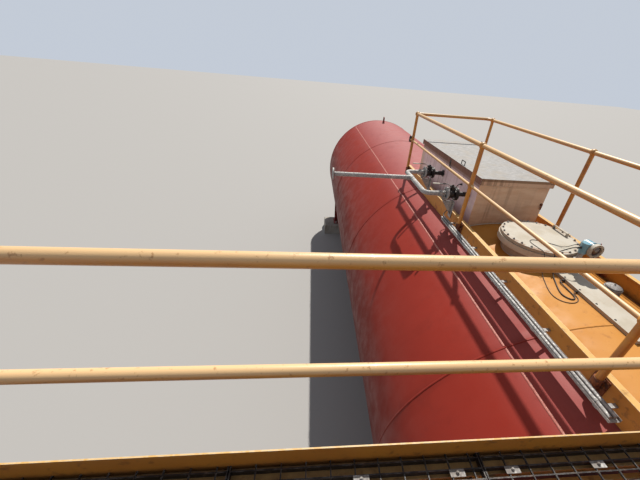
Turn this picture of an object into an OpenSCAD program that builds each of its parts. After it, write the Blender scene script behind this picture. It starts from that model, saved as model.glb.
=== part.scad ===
// Horizontal pressure tank on two saddles, with a railed walkway on its crown.
// +Z is up, Y runs along the tank and X across it. The origin is on the ground under
// the middle of the shell. Millimetres.

/* [Tank shell] */
// Outside diameter of the shell
tank_d = 3500; // [3300:10:3700]
// Length of one course of the shell
course_len = 3400; // [3300:10:3600]
// Thickness of the shell plate
shell_t = 12; // [8:1:20]
// Thickness of the dished heads
head_t = 14; // [10:1:24]
// Straight flange of each head before its knuckle
head_flange = 50; // [25:5:80]
// Gap between the underside of the shell and the ground
tank_clear = 546; // [520:2:700]

/* [Saddles and plinths] */
// Distance of each saddle from the end of the shell
saddle_inset = 870; // [700:10:1100]
// Width of a saddle along the tank
saddle_w = 420; // [360:10:500]
// Length of a saddle's base plate across the tank
saddle_base = 3100; // [2900:20:3400]
// Thickness of a saddle's base plate
saddle_base_t = 20; // [12:1:30]
// Thickness of a saddle's wrapper plate and ribs
saddle_plate = 14; // [10:1:20]
// Half of the angle that a saddle wraps round the shell
saddle_wrap = 62; // [55:1:70]
// Diameter of the anchor bolt holes
anchor_d = 33; // [24:1:40]
// Height of the concrete plinths
plinth_h = 360; // [300:5:380]
// Length of a plinth across the tank
plinth_len = 3800; // [3600:20:4200]
// Width of a plinth along the tank
plinth_w = 800; // [700:10:1000]
// Chamfer on a plinth's edges
plinth_chamfer = 25; // [10:1:40]

/* [Walkway] */
// Distance from the tank's middle to the outer face of each kerb
kerb_x = 635; // [600:5:680]
// Height of the kerb's top above the crown
kerb_rise = 74; // [50:1:110]
// Thickness of the kerb plate
kerb_t = 8; // [5:1:10]
// Width of the kerb's top flange
kerb_flange = 50; // [30:1:70]
// Far end of the walkway
walk_far = 760; // [700:5:900]
// Near end of the walkway
walk_near = -5640; // [-5760:5:-5600]

/* [Walkway rails] */
// Distance from the tank's middle to the line of the rails
rail_x = 667; // [650:1:700]
// Outside diameter of the posts and the top rail
post_d = 48.3; // [42.4:0.1:48.3]
// Outside diameter of the middle rail
mid_d = 33.7; // [26.9:0.1:33.7]
// Height of the top rail above the crown
top_rise = 986; // [950:1:1100]
// Height of the middle rail above the crown
mid_rise = 539; // [480:1:600]
// Diameter of the balls that the top rail passes through
top_ball_d = 78; // [70:1:90]
// Diameter of the balls that the middle rail passes through
mid_ball_d = 68; // [60:1:80]
// Place of the far corner post on the inner side
corner_far = 672; // [660:1:690]
// Place of the middle post on the inner side
inner_mid_post = -1731; // [-1760:1:-1700]
// Place of the near post on the inner side
inner_near_post = -3908; // [-3950:1:-3880]
// Place of the far post on the outer side
outer_far_post = 550; // [520:1:560]
// Place of the middle post on the outer side
outer_mid_post = -1717; // [-1760:1:-1700]
// Place of the near post on the outer side
outer_near_post = -3900; // [-3950:1:-3880]
// Radius of the bends of the top rail
rail_bend = 80; // [70:1:82]

/* [Valve box] */
// Width of the box across the tank
box_w = 920; // [880:5:940]
// Near face of the box
box_near = -1576; // [-1590:1:-1560]
// Far face of the box
box_far = 604; // [580:1:620]
// Height of the box above the crown
box_rise = 585; // [540:1:620]
// Thickness of the box sheet
box_t = 5; // [3:1:8]
// Height of the lid's lip
lid_lip = 80; // [60:1:90]
// Overhang of the lid beyond the box
lid_over = 20; // [18:1:26]
// Thickness of the lid sheet
lid_t = 4; // [3:1:6]

/* [Manway] */
// Place of the manway along the tank
manway_y = -2240; // [-2260:1:-2200]
// Diameter of the manway flange and cover
manway_d = 796; // [760:2:820]
// Diameter of the manway cover
manway_cover_d = 776; // [750:2:796]
// Thickness of the manway flange
manway_flange_t = 62; // [40:1:70]
// Outside diameter of the manway neck
manway_neck_d = 640; // [600:2:660]
// Height of the cover's top above the crown
manway_rise = 184; // [160:1:220]
// Thickness of the manway cover
manway_plate = 32; // [24:1:40]

/* [Gauge] */
// Place of the gauge across the tank
gauge_x = 209; // [200:1:220]
// Place of the gauge's back along the tank
gauge_y = -2600; // [-2610:1:-2590]
// Height of the gauge's axis above the crown
gauge_rise = 284; // [276:1:300]
// Diameter of the gauge's housing
gauge_d = 118; // [100:2:124]
// Length of the gauge's housing
gauge_len = 105; // [90:1:120]
// Diameter of the ring round the gauge's window
gauge_ring_d = 142; // [130:2:150]
// Diameter of the stem that carries the gauge
gauge_stem_d = 46; // [40:1:52]
// Diameter of the gauge's cable
cable_d = 10; // [8:1:12]
// Diameter of the thin lead beside it
lead_d = 6; // [5:1:8]
// Diameter of the valve box's cable
hose_d = 12; // [10:1:14]

/* [Pipework] */
// Outside diameter of the pipes
pipe_d = 60.3; // [48.3:0.1:76.1]
// Height of the pipes above the crown
pipe_rise = 304; // [290:1:330]
// Place of the near branch along the tank
branch_near = -1376; // [-1400:1:-1300]
// Place of the far branch along the tank
branch_far = -476; // [-520:1:-440]
// Place of the crossover pipe along the tank
cross_y = -775; // [-820:1:-740]
// Distance of the header pipe from the tank's middle
header_x = 1050; // [1000:5:1100]
// Far end of the crossover pipe
cross_end = 2200; // [1900:10:2300]
// Diameter of the pipe flanges
flange_d = 165; // [140:1:180]
// Thickness of the pipe flanges
flange_t = 18; // [14:1:24]
// Distance of a valve from the box wall
nozzle_len = 180; // [160:1:200]
// Length of a valve between its flanges
valve_len = 110; // [100:1:130]
// Diameter of a valve's round body
valve_d = 150; // [130:1:160]
// Diameter of the circle of bolts in a pipe flange
bolt_circle = 125; // [115:1:130]
// Diameter of the bolt holes in a pipe flange
bolt_hole = 18; // [14:1:20]

/* [Landing] */
// Length of the landing
landing_len = 3160; // [3000:10:3300]
// Width of the landing
landing_w = 1140; // [1100:10:1160]
// Height of the landing's floor above the crown
landing_rise = 204; // [190:1:240]
// Gap between the landing and the middle of the tank
landing_x = 700; // [690:5:760]
// Front edge of the landing
landing_front = -4360; // [-4400:5:-4340]
// Depth of the grating
grating_t = 30; // [25:1:40]
// Depth of the bearers
bearer_h = 150; // [125:5:180]
// Height of the toe board above the floor
toe_h = 100; // [100:5:150]
// Outside diameter of the landing's rails
landing_tube = 42.4; // [38:0.1:48.3]
// Height of the landing's top rail above its floor
landing_rail = 975; // [950:5:1100]

/* [Hidden] */
$fn = 96;

red = [0.66, 0.24, 0.19];
yellow = [0.93, 0.66, 0.30];
cream = [0.93, 0.90, 0.82];
beige = [0.80, 0.72, 0.62];
concrete = [0.62, 0.60, 0.57];
zinc = [0.72, 0.73, 0.74];
dark = [0.14, 0.14, 0.15];
rust = [0.36, 0.23, 0.17];
blue = [0.52, 0.74, 0.80];

// Running gap between pieces that are fitted to each other
fit = 0.3;
eps = 0.01;

tank_r = tank_d / 2;
axis_z = tank_clear + tank_r;
crown_z = axis_z + tank_r;
half_len = 2 * course_len;
saddle_y = half_len - saddle_inset;

// Height of the shell's outside at a distance x from the tank's middle
function shell_z(x) = axis_z + sqrt(tank_r * tank_r - x * x);

// A solid cylinder of radius r that lies along the tank from y0 to y1
module along(r, y0, y1, x = 0, z = 0, fn = 96)
    translate([x, y0, z]) rotate([-90, 0, 0]) cylinder(r = r, h = y1 - y0, $fn = fn);

// A solid cylinder of radius r that lies across the tank from x0 to x1
module across(r, x0, x1, y = 0, z = 0, fn = 96)
    translate([x0, y, z]) rotate([0, 90, 0]) cylinder(r = r, h = x1 - x0, $fn = fn);

// Everything inside the shell, with the fitting gap, to cut the foot of what stands on it
module shell_cut(gap = fit)
    along(tank_r + gap, -half_len, half_len, 0, axis_z, 240);

// Concrete plinths
module plinth(y) {
    c = plinth_chamfer;
    w = plinth_w / 2;
    l = plinth_len / 2;
    color(concrete) translate([0, y, 0]) intersection() {
        rotate([90, 0, 0]) linear_extrude(plinth_w, center = true)
            polygon([[-l, 0], [l, 0], [l, plinth_h - c], [l - c, plinth_h],
                     [c - l, plinth_h], [-l, plinth_h - c]]);
        rotate([90, 0, 90]) linear_extrude(plinth_len, center = true)
            polygon([[-w, 0], [w, 0], [w, plinth_h - c], [w - c, plinth_h],
                     [c - w, plinth_h], [-w, plinth_h - c]]);
    }
}
module plinth_near() { plinth(-saddle_y); }
module plinth_far() { plinth(saddle_y); }

// Steel saddles: base plate, web, ribs and a wrapper plate round the shell
rib_x = [-1380, -920, -460, 0, 460, 920, 1380];
anchor_x = saddle_base / 2 - 90;
anchor_y = saddle_w / 2 - 60;
wrap_r = tank_r + fit + saddle_plate;
module saddle_side() {
    // Outline of the web, wide enough at the top to reach the ends of the wrapper
    tip = wrap_r * sin(saddle_wrap);
    tip_z = axis_z - wrap_r * cos(saddle_wrap);
    foot = saddle_base / 2 - 30;
    polygon([[-foot, plinth_h + eps], [foot, plinth_h + eps], [foot, plinth_h + 130],
             [tip - 8, tip_z], [0, axis_z], [8 - tip, tip_z], [-foot, plinth_h + 130]]);
}
module saddle(y) {
    color(red) translate([0, y, 0]) difference() {
        union() {
            translate([-saddle_base / 2, -saddle_w / 2, plinth_h])
                cube([saddle_base, saddle_w, saddle_base_t]);
            difference() {
                union() {
                    rotate([90, 0, 0]) linear_extrude(saddle_plate, center = true) saddle_side();
                    intersection() {
                        rotate([90, 0, 0]) linear_extrude(saddle_w - 40, center = true)
                            saddle_side();
                        for (x = rib_x) translate([x - saddle_plate / 2, -saddle_w / 2, plinth_h])
                            cube([saddle_plate, saddle_w, tank_r]);
                    }
                }
                along(wrap_r - saddle_plate / 2, -saddle_w, saddle_w, 0, axis_z, 180);
            }
            intersection() {
                difference() {
                    along(wrap_r, -saddle_w / 2, saddle_w / 2, 0, axis_z, 180);
                    along(wrap_r - saddle_plate, -saddle_w, saddle_w, 0, axis_z, 180);
                }
                rotate([90, 0, 0]) linear_extrude(saddle_w + 2, center = true)
                    polygon([[0, axis_z], [2 * tank_r * sin(saddle_wrap),
                              axis_z - 2 * tank_r * cos(saddle_wrap)], [0, -2 * tank_r],
                             [-2 * tank_r * sin(saddle_wrap),
                              axis_z - 2 * tank_r * cos(saddle_wrap)]]);
            }
        }
        for (x = [-anchor_x, anchor_x], a = [-anchor_y, anchor_y])
            translate([x, a, plinth_h - 1]) cylinder(d = anchor_d, h = saddle_base_t + 2);
    }
}
module saddle_near() { saddle(-saddle_y); }
module saddle_far() { saddle(saddle_y); }

// The shell: four rolled courses, the second one cut for the manway
module course(i) {
    y0 = i * course_len - half_len;
    color(red) difference() {
        along(tank_r, y0, y0 + course_len, 0, axis_z, 240);
        along(tank_r - shell_t, y0 - 1, y0 + course_len + 1, 0, axis_z, 240);
        if (i == 1) translate([0, manway_y, axis_z])
            cylinder(d = manway_neck_d - 2 * shell_t, h = tank_r + 100);
    }
}
module course_1() { course(0); }
module course_2() { course(1); }
module course_3() { course(2); }
module course_4() { course(3); }

// Dished head: crown radius equal to the tank's diameter, knuckle a tenth of it
knuckle = tank_d / 10;
crown_off = sqrt(pow(tank_d - knuckle, 2) - pow(tank_r - knuckle, 2));
meet = asin((tank_r - knuckle) / (tank_d - knuckle));
function head_line(inset) = concat(
    [[tank_r - inset, 0]],
    [for (a = [0 : 9 : 90]) if (a < 90 - meet)
        [tank_r - knuckle + (knuckle - inset) * cos(a), head_flange + (knuckle - inset) * sin(a)]],
    [for (k = [0 : 12]) let (b = meet * (1 - k / 12))
        [(tank_d - inset) * sin(b), head_flange - crown_off + (tank_d - inset) * cos(b)]]);
function turned(line) = [for (i = [len(line) - 1 : -1 : 0]) line[i]];
module head() {
    color(red) rotate_extrude($fn = 240) polygon(concat(head_line(0), turned(head_line(head_t))));
}
module head_near() { translate([0, -half_len, axis_z]) rotate([90, 0, 0]) head(); }
module head_far() { translate([0, half_len, axis_z]) rotate([-90, 0, 0]) head(); }

// Lifting lugs on the crown, one near each end
lug_in = 500;
lug_y = half_len - lug_in;
lug_t = 24;
lug_h = 130;
lug_r = 70;
lug_hole_r = 32;
module lifting_lugs() {
    color(red) for (y = [-lug_y, lug_y]) difference() {
        translate([-lug_t / 2, y, crown_z]) rotate([90, 0, 90]) linear_extrude(lug_t) difference() {
            union() {
                polygon([[-lug_h, -20], [lug_h, -20], [lug_r - 8, lug_h], [8 - lug_r, lug_h]]);
                translate([0, lug_h]) circle(r = lug_r, $fn = 64);
            }
            translate([0, lug_h]) circle(r = lug_hole_r, $fn = 64);
        }
        shell_cut();
    }
}

// Kerbs along both sides of the walkway, standing on the shell
kerb_top = crown_z + kerb_rise;
kerb_foot = shell_z(kerb_x - kerb_t) + fit;
module kerb() {
    color(yellow) {
        translate([kerb_x - kerb_t, walk_near, kerb_foot])
            cube([kerb_t, walk_far - walk_near, kerb_top - kerb_foot]);
        translate([kerb_x - kerb_flange, walk_near, kerb_top - kerb_t])
            cube([kerb_flange, walk_far - walk_near, kerb_t]);
    }
}
module kerb_inner() { mirror([1, 0, 0]) kerb(); }
module kerb_outer() { kerb(); }

// Posts with their balls, and the bolted feet that hold them on the kerbs
corner_near = walk_near + walk_far - corner_far;
outer_end_post = corner_near + corner_far - outer_far_post;
inner_post_y = [corner_far, inner_mid_post, inner_near_post, corner_near];
outer_post_y = [outer_far_post, outer_mid_post, outer_near_post, outer_end_post];
post_r = post_d / 2;
mid_r = mid_d / 2;
top_z = crown_z + top_rise;
mid_z = crown_z + mid_rise;
foot_h = 130;
foot_w = 110;
foot_plate_t = 7;
foot_z = kerb_top - foot_h - 10;
foot_floor = 8;
sleeve_r = post_r + 7;
sleeve_h = foot_h - 10;
foot_web = 40;
foot_bolt_in = 16;
foot_bolt_d = 30;
foot_bolt_h = 9;
module foot(y) {
    difference() {
        union() {
            translate([kerb_x, y - foot_w / 2, foot_z]) cube([foot_plate_t, foot_w, foot_h]);
            translate([rail_x, y, foot_z]) cylinder(r = sleeve_r, h = sleeve_h);
            translate([kerb_x, y - foot_web / 2, foot_z]) cube([rail_x - kerb_x, foot_web, sleeve_h]);
            for (s = [-1, 1])
                translate([kerb_x, y + s * (foot_w / 2 - foot_bolt_in), foot_z + foot_h / 2])
                    rotate([0, 90, 0])
                        cylinder(d = foot_bolt_d, h = foot_plate_t + foot_bolt_h, $fn = 6);
        }
        translate([rail_x, y, foot_z + foot_floor]) cylinder(r = post_r + fit, h = foot_h + sleeve_h);
    }
}
module feet_inner() { color(rust) mirror([1, 0, 0]) for (y = inner_post_y) foot(y); }
module feet_outer() { color(rust) for (y = outer_post_y) foot(y); }

// How far a rail's end stays from the middle of a corner's ball
rail_seat = post_r + 1;
// A post with a ball for each rail. A corner's top ball is bored from one side only for
// each rail that ends in it, and its middle ball may be left out.
module post(y, along_to = 60, across_to = false, low_ball = true) {
    difference() {
        union() {
            translate([rail_x, y, foot_z + foot_floor + fit])
                cylinder(r = post_r, h = top_z - foot_z - foot_floor - fit);
            translate([rail_x, y, top_z]) sphere(d = top_ball_d);
            if (low_ball) translate([rail_x, y, mid_z]) sphere(d = mid_ball_d);
        }
        if (along_to != 0) along(post_r + fit, y - 60, y + along_to, rail_x, top_z);
        if (across_to) across(post_r + fit, rail_x - 60, rail_x - rail_seat, y, top_z);
        if (low_ball) along(mid_r + fit, y - 60, y + 60, rail_x, mid_z);
    }
}
module posts_inner() {
    color(yellow) mirror([1, 0, 0]) {
        post(corner_far, along_to = -rail_seat, across_to = true);
        post(inner_mid_post);
        post(inner_near_post);
        post(corner_near, along_to = 0, across_to = true, low_ball = false);
    }
}
module posts_outer() { color(yellow) for (y = outer_post_y) post(y); }

// Where the inner rails stop beside the landing, and how far a middle rail runs past its post
rail_gap = 230;
rail_stop = landing_front + rail_gap;
mid_over = 100;
module top_rail_inner() {
    color(yellow) along(post_r, rail_stop, corner_far - rail_seat - fit, -rail_x, top_z);
}
module top_rail_outer() {
    seat = rail_seat + fit;
    b = rail_bend;
    color(yellow) {
        along(post_r, corner_near + b, corner_far - b, rail_x, top_z);
        for (end = [corner_far, corner_near])
            across(post_r, seat - rail_x, rail_x - b, end, top_z);
        translate([rail_x - b, corner_far - b, top_z]) rotate_extrude(angle = 90)
            translate([b, 0]) circle(r = post_r, $fn = 48);
        translate([rail_x - b, corner_near + b, top_z]) rotate([0, 0, -90])
            rotate_extrude(angle = 90) translate([b, 0]) circle(r = post_r, $fn = 48);
    }
}
module mid_rail_inner() {
    color(yellow) mirror([1, 0, 0]) mid_rail(rail_stop, corner_far + mid_over);
}
module mid_rail_outer() {
    color(yellow) mid_rail(outer_end_post - mid_over, outer_far_post + mid_over);
}
module mid_rail(y0, y1) {
    // A tube with a round knob on its far end
    along(mid_r, y0, y1, rail_x, mid_z);
    translate([rail_x, y1, mid_z]) sphere(d = mid_d + 14, $fn = 48);
}

// Valve box on the crown: four walls cut to the shell, and a hinged lid
box_x = box_w / 2;
box_top = crown_z + box_rise;
box_foot = axis_z + tank_r / 2;
module box_wall(p, size) {
    // A sheet that stands on the shell, and is cut to it
    color(beige) difference() {
        translate([p[0], p[1], box_foot]) cube([size[0], size[1], box_top - box_foot]);
        shell_cut();
    }
}
module box_near_wall() { box_wall([-box_x, box_near], [box_w, box_t]); }
module box_far_wall() { box_wall([-box_x, box_far - box_t], [box_w, box_t]); }
module box_inner_wall() {
    difference() {
        box_wall([-box_x, box_near + box_t], [box_t, box_far - box_near - 2 * box_t]);
        for (y = [branch_near, branch_far])
            across(pipe_d / 2 + fit, -box_x - 10, 10 - box_x, y, pipe_z);
    }
}
module box_outer_wall() {
    box_wall([box_x - box_t, box_near + box_t], [box_t, box_far - box_near - 2 * box_t]);
}

lid_x = box_x + lid_over;
lid_near = box_near - 30;
lid_far = box_far + 30;
lid_top = box_top + fit + lid_t;
hinge_x = lid_x + 12;
hinge_z = lid_top - lid_lip - 8;
hinge_in = 300;
hinge_y = [box_near + hinge_in, (box_near + box_far) / 2, box_far - hinge_in];
module box_lid() {
    w = 2 * lid_x;
    l = lid_far - lid_near;
    color(zinc) difference() {
        translate([-lid_x, lid_near, lid_top - lid_lip]) cube([w, l, lid_lip]);
        translate([lid_t - lid_x, lid_near + lid_t, lid_top - lid_lip - 1])
            cube([w - 2 * lid_t, l - 2 * lid_t, lid_lip - lid_t + 1]);
    }
}
handle_shift = 510;
handle_y = (box_near + box_far) / 2 - handle_shift;
handle_len = 100;
handle_bar = 12;
handle_in = 28;
handle_h = 46;
module lid_handle() {
    color(dark) {
        for (y = [handle_y - handle_len / 2, handle_y + handle_len / 2])
            translate([handle_in - lid_x, y, lid_top]) cylinder(d = handle_bar, h = handle_h, $fn = 32);
        along(handle_bar / 2, handle_y - handle_len / 2, handle_y + handle_len / 2,
              handle_in - lid_x, lid_top + handle_h, 32);
    }
}
pin_r = 5;
knuckle_r = 10;
leaf_t = 5;
leaf_w = 120;
leaf_mid = 48;
module lid_hinges() {
    // Leaves on the lid's lip, each with the middle knuckle
    color(rust) for (y = hinge_y) difference() {
        union() {
            translate([lid_x, y - leaf_w / 2, lid_top - lid_lip]) cube([leaf_t, leaf_w, lid_lip - 12]);
            translate([lid_x, y - leaf_mid / 2, hinge_z - 3]) cube([hinge_x - lid_x, leaf_mid, 12]);
            along(knuckle_r, y - leaf_mid / 2, y + leaf_mid / 2, hinge_x, hinge_z, 48);
        }
        along(pin_r + fit, y - leaf_w / 2, y + leaf_w / 2, hinge_x, hinge_z, 48);
    }
}
module hinge_knuckles() {
    // Brackets on the box wall with the outer knuckles, and the pin through all three
    end_w = (leaf_w - leaf_mid) / 2 - 1;
    color(rust) for (y = hinge_y) {
        along(pin_r, y - leaf_w / 2, y + leaf_w / 2, hinge_x, hinge_z, 48);
        for (y0 = [y - leaf_w / 2, y + leaf_w / 2 - end_w]) {
            along(knuckle_r, y0, y0 + end_w, hinge_x, hinge_z, 48);
            translate([box_x, y0, hinge_z - 70]) cube([leaf_t, end_w, 62]);
            translate([box_x, y0, hinge_z - 16]) cube([hinge_x - box_x + 4, end_w, 9]);
        }
    }
}

// Manway: neck with its flange, and the blind cover that seats on a raised face
manway_top = crown_z + manway_rise;
manway_gap = 3;
manway_flange_top = manway_top - manway_plate - manway_gap;
neck_depth = 200;
neck_foot = crown_z - neck_depth;
module manway_neck() {
    color(beige) difference() {
        union() {
            translate([0, manway_y, neck_foot])
                cylinder(d = manway_neck_d, h = manway_flange_top - neck_foot);
            translate([0, manway_y, manway_flange_top - manway_flange_t])
                cylinder(d = manway_d, h = manway_flange_t);
        }
        translate([0, manway_y, neck_foot - 1])
            cylinder(d = manway_neck_d - 2 * shell_t, h = manway_flange_top - neck_foot + 2);
        shell_cut();
    }
}
module manway_cover() {
    color(cream) translate([0, manway_y, 0]) {
        translate([0, 0, manway_flange_top]) cylinder(d = manway_neck_d + 40, h = manway_gap + 0.5);
        translate([0, 0, manway_top - manway_plate]) cylinder(d = manway_cover_d, h = manway_plate);
    }
}
grip_x = manway_cover_d / 2 - 88;
grip_y0 = manway_y - 20;
grip_len = 220;
grip_h = 44;
module manway_handle() {
    // A flat bar on two legs
    color(cream) {
        for (y = [grip_y0, grip_y0 + grip_len - 10])
            translate([grip_x, y, manway_top]) cube([30, 10, grip_h - 8]);
        translate([grip_x, grip_y0, manway_top + grip_h - 8]) cube([30, grip_len, 8]);
    }
}

// Flat cover over the gauge's lines, from the manway towards the near saddle
plate_x0 = -60;
plate_x1 = 260;
plate_rise = 30;
plate_y0 = -course_len - 200;
plate_y1 = manway_y - manway_neck_d / 2 - 15;
plate_top = crown_z + plate_rise;
module gauge_cover() {
    color(cream) difference() {
        translate([plate_x0, plate_y0, crown_z - 60])
            cube([plate_x1 - plate_x0, plate_y1 - plate_y0, 60 + plate_rise]);
        shell_cut();
    }
}

// Level gauge: a stem with a drain block, and a head that looks along the walkway
gauge_z = crown_z + gauge_rise;
stem_x = gauge_x - 72;
stem_y = gauge_y - 68;
box_r = 36;
gauge_base = gauge_z - 52;
gauge_face = gauge_y - gauge_len;
module gauge_neck() {
    color(zinc) translate([stem_x, stem_y, plate_top]) {
        cylinder(d = 116, h = 14);
        cylinder(d = gauge_stem_d, h = gauge_base + 30 - plate_top);
        translate([0, 0, 70]) cylinder(d = 84, h = 58, $fn = 6);
        translate([0, 0, 99]) rotate([0, -90, 0]) cylinder(d = 22, h = 58, $fn = 6);
    }
}
module gauge_head() {
    color(blue) difference() {
        union() {
            along(gauge_d / 2, gauge_face, gauge_y, gauge_x, gauge_z);
            along(gauge_d / 2 - 12, gauge_y - 1, gauge_y + 18, gauge_x, gauge_z);
            along(gauge_d / 2 + 6, gauge_face + 24, gauge_face + 36, gauge_x, gauge_z);
            translate([stem_x, stem_y, gauge_base]) cylinder(r = box_r, h = 108);
            translate([stem_x, stem_y - 30, gauge_z - 26]) cube([gauge_x - stem_x, 60, 52]);
            across(8, gauge_x, gauge_x + 112, gauge_y - 40, gauge_z + 30, 32);
        }
        translate([stem_x, stem_y, gauge_base - 1])
            cylinder(d = gauge_stem_d + 2 * fit, h = 31 + fit);
    }
}
module gauge_window() {
    color(cream) difference() {
        along(gauge_ring_d / 2, gauge_face - 34, gauge_face - fit, gauge_x, gauge_z);
        along(gauge_ring_d / 2 - 21, gauge_face - 35, gauge_face - 14, gauge_x, gauge_z);
    }
}

// Round vent beside the cover, with a domed cap
vent_x = 345;
vent_y = -2950;
vent_d = 150;
module vent_cap() {
    color(zinc) translate([vent_x, vent_y, 0]) difference() {
        union() {
            translate([0, 0, crown_z - 100]) cylinder(d = vent_d, h = 100 + plate_rise);
            translate([0, 0, plate_top]) intersection() {
                translate([0, 0, 26 - vent_d]) sphere(r = vent_d);
                cylinder(d = vent_d - 16, h = 40);
            }
        }
        translate([-vent_x, -vent_y, 0]) shell_cut();
    }
}

// Branches from the box, valves, header and crossover pipe
pipe_z = crown_z + pipe_rise;
pipe_r = pipe_d / 2;
bend_r = 76;
tee_len = 64;
nozzle_end = box_x + nozzle_len;
valve_x = nozzle_end + valve_len / 2;
valve_end = nozzle_end + valve_len;
module ring_flange(x, y) { across(flange_d / 2, x, x + flange_t, y, pipe_z); }
module box_nozzles() {
    color(dark) for (y = [branch_near, branch_far]) {
        across(pipe_r, -nozzle_end, 30 - box_x, y, pipe_z);
        ring_flange(-nozzle_end, y);
        across(pipe_r + 20, -box_x - 10, -box_x - fit, y, pipe_z);
    }
}
stem_h = 96;
module valve(y) {
    // Two round end plates, a ball between them and a bonnet with its stem
    color(dark) {
        across(pipe_r + 6, -valve_end, -nozzle_end, y, pipe_z);
        across(valve_d / 2, -valve_end, flange_t - valve_end, y, pipe_z);
        across(valve_d / 2, -nozzle_end - flange_t, -nozzle_end, y, pipe_z);
        translate([-valve_x, y, pipe_z]) {
            sphere(r = valve_len / 2 - 1);
            cylinder(d = 52, h = stem_h);
            translate([0, 0, stem_h - 12]) cylinder(d = 76, h = 12);
            for (a = [45 : 90 : 315]) rotate([0, 0, a])
                translate([29, 0, stem_h - 20]) cylinder(d = 12, h = 28, $fn = 6);
        }
    }
}
module valve_near() { valve(branch_near); }
module valve_far() { valve(branch_far); }
lever_len = 270;
lever_w = 24;
module valve_levers() {
    // Flat levers over the header's side, cranked up once
    color(dark) for (y = [branch_near, branch_far])
        translate([-valve_x, y, pipe_z + stem_h + fit]) {
            cylinder(d = 22, h = 22, $fn = 6);
            rotate([90, 0, 0]) linear_extrude(lever_w, center = true)
                polygon([[14, 8], [14, 14], [-52, 14], [-80, 34], [-lever_len, 34],
                         [-lever_len, 28], [-78, 28], [-50, 8]]);
        }
}
module elbow(x, y, turn) {
    // A right-angle bend about a centre beside the corner
    translate([x, y, pipe_z]) rotate([0, 0, turn]) rotate_extrude(angle = 90)
        translate([bend_r, 0]) circle(r = pipe_r, $fn = 64);
}
module header_pipe() {
    // The crossover ends in an open flange, drilled for the pipe that carries on
    color(zinc) difference() {
        header_solid();
        across(pipe_r - 3.9, -cross_end - 1, 120 - cross_end, cross_y, pipe_z);
        for (a = [45 : 90 : 315])
            across(bolt_hole / 2, -cross_end - 1, flange_t + 1 - cross_end,
                   cross_y + bolt_circle / 2 * cos(a), pipe_z + bolt_circle / 2 * sin(a), 48);
    }
}
module header_solid() {
    bend_x = bend_r - header_x;
    for (y = [branch_near, branch_far]) {
        across(pipe_r, bend_x, -valve_end, y, pipe_z);
        ring_flange(-valve_end - flange_t, y);
        // A union nut between two collars
        across(pipe_r + 5, -valve_end - 124, -valve_end - 62, y, pipe_z);
        across(pipe_r + 14, -valve_end - 108, -valve_end - 78, y, pipe_z, 6);
    }
    elbow(bend_x, branch_near + bend_r, 180);
    elbow(bend_x, branch_far - bend_r, 90);
    along(pipe_r, branch_near + bend_r, branch_far - bend_r, -header_x, pipe_z);
    across(pipe_r, -cross_end, -header_x, cross_y, pipe_z);
    across(pipe_r + 4, -header_x - tee_len, -header_x, cross_y, pipe_z);
    along(pipe_r + 4, cross_y - tee_len, cross_y + tee_len, -header_x, pipe_z);
    ring_flange(-cross_end, cross_y);
}
seat_x0 = valve_end + flange_t + 4;
seat_x1 = seat_x0 + 34;
module pipe_supports() {
    // Gusset plates on the kerb's outer face, each with a seat under its pipe
    low = pipe_z - flange_d / 2 - 12;
    seat = pipe_z - pipe_r - fit;
    color(zinc) for (y = [branch_near, branch_far]) mirror([1, 0, 0]) {
        translate([0, y, 0]) rotate([90, 0, 0]) linear_extrude(8, center = true)
            polygon([[kerb_x + fit, kerb_top - 70], [kerb_x + fit, low], [seat_x0 - 2, low],
                     [seat_x0, seat - 3], [seat_x1, seat - 3], [seat_x1, seat - 45]]);
        translate([seat_x0, y - 40, seat - 8]) cube([seat_x1 - seat_x0, 80, 8]);
        translate([kerb_x + fit, y - 45, kerb_top - 90]) cube([8, 90, low - kerb_top + 90]);
    }
}

// Cable tray on arms from the inner kerb, with two conduits in it
tray_x0 = rail_x + sleeve_r + 8;
tray_w = 80;
tray_side = 18;
tray_t = 2;
tray_z = crown_z - 16;
tray_gap = 210;
tray_y0 = landing_front + tray_gap;
tray_y1 = box_near + 100;
tray_arms = 5;
arm_w = 30;
arm_in = 100;
module cable_tray() {
    pitch = (tray_y1 - tray_y0 - 2 * arm_in) / (tray_arms - 1);
    color(zinc) mirror([1, 0, 0]) {
        translate([tray_x0, tray_y0, tray_z]) cube([tray_w, tray_y1 - tray_y0, tray_t]);
        for (x = [tray_x0, tray_x0 + tray_w - tray_t])
            translate([x, tray_y0, tray_z]) cube([tray_t, tray_y1 - tray_y0, tray_side]);
        for (i = [0 : tray_arms - 1])
            translate([kerb_x + fit, tray_y0 + arm_in + i * pitch - arm_w / 2, tray_z - 5])
                cube([tray_x0 + tray_w - kerb_x, arm_w, 5 + eps]);
    }
}
conduit_d = 25;
conduit_x = [tray_x0 + 22, tray_x0 + 58];
conduit_y1 = tray_y1 + 40;
conduit_z = tray_z + tray_t + fit + conduit_d / 2;
module conduits() {
    color(zinc) for (x = conduit_x)
        along(conduit_d / 2, tray_y0 + 20, conduit_y1, -x, conduit_z, 32);
}

// Points of a smooth curve through chosen points, n to each span
function spline(p, n) = concat([for (i = [0 : len(p) - 2], k = [0 : n - 1])
    let (a = p[max(i - 1, 0)], b = p[i], c = p[i + 1], d = p[min(i + 2, len(p) - 1)], t = k / n)
    0.5 * (2 * b + (c - a) * t + (2 * a - 5 * b + 4 * c - d) * t * t
           + (3 * b - a - 3 * c + d) * t * t * t)], [p[len(p) - 1]]);
function unit(v) = v / norm(v);
function heading(p, i) = unit(p[min(i + 1, len(p) - 1)] - p[max(i - 1, 0)]);
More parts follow.
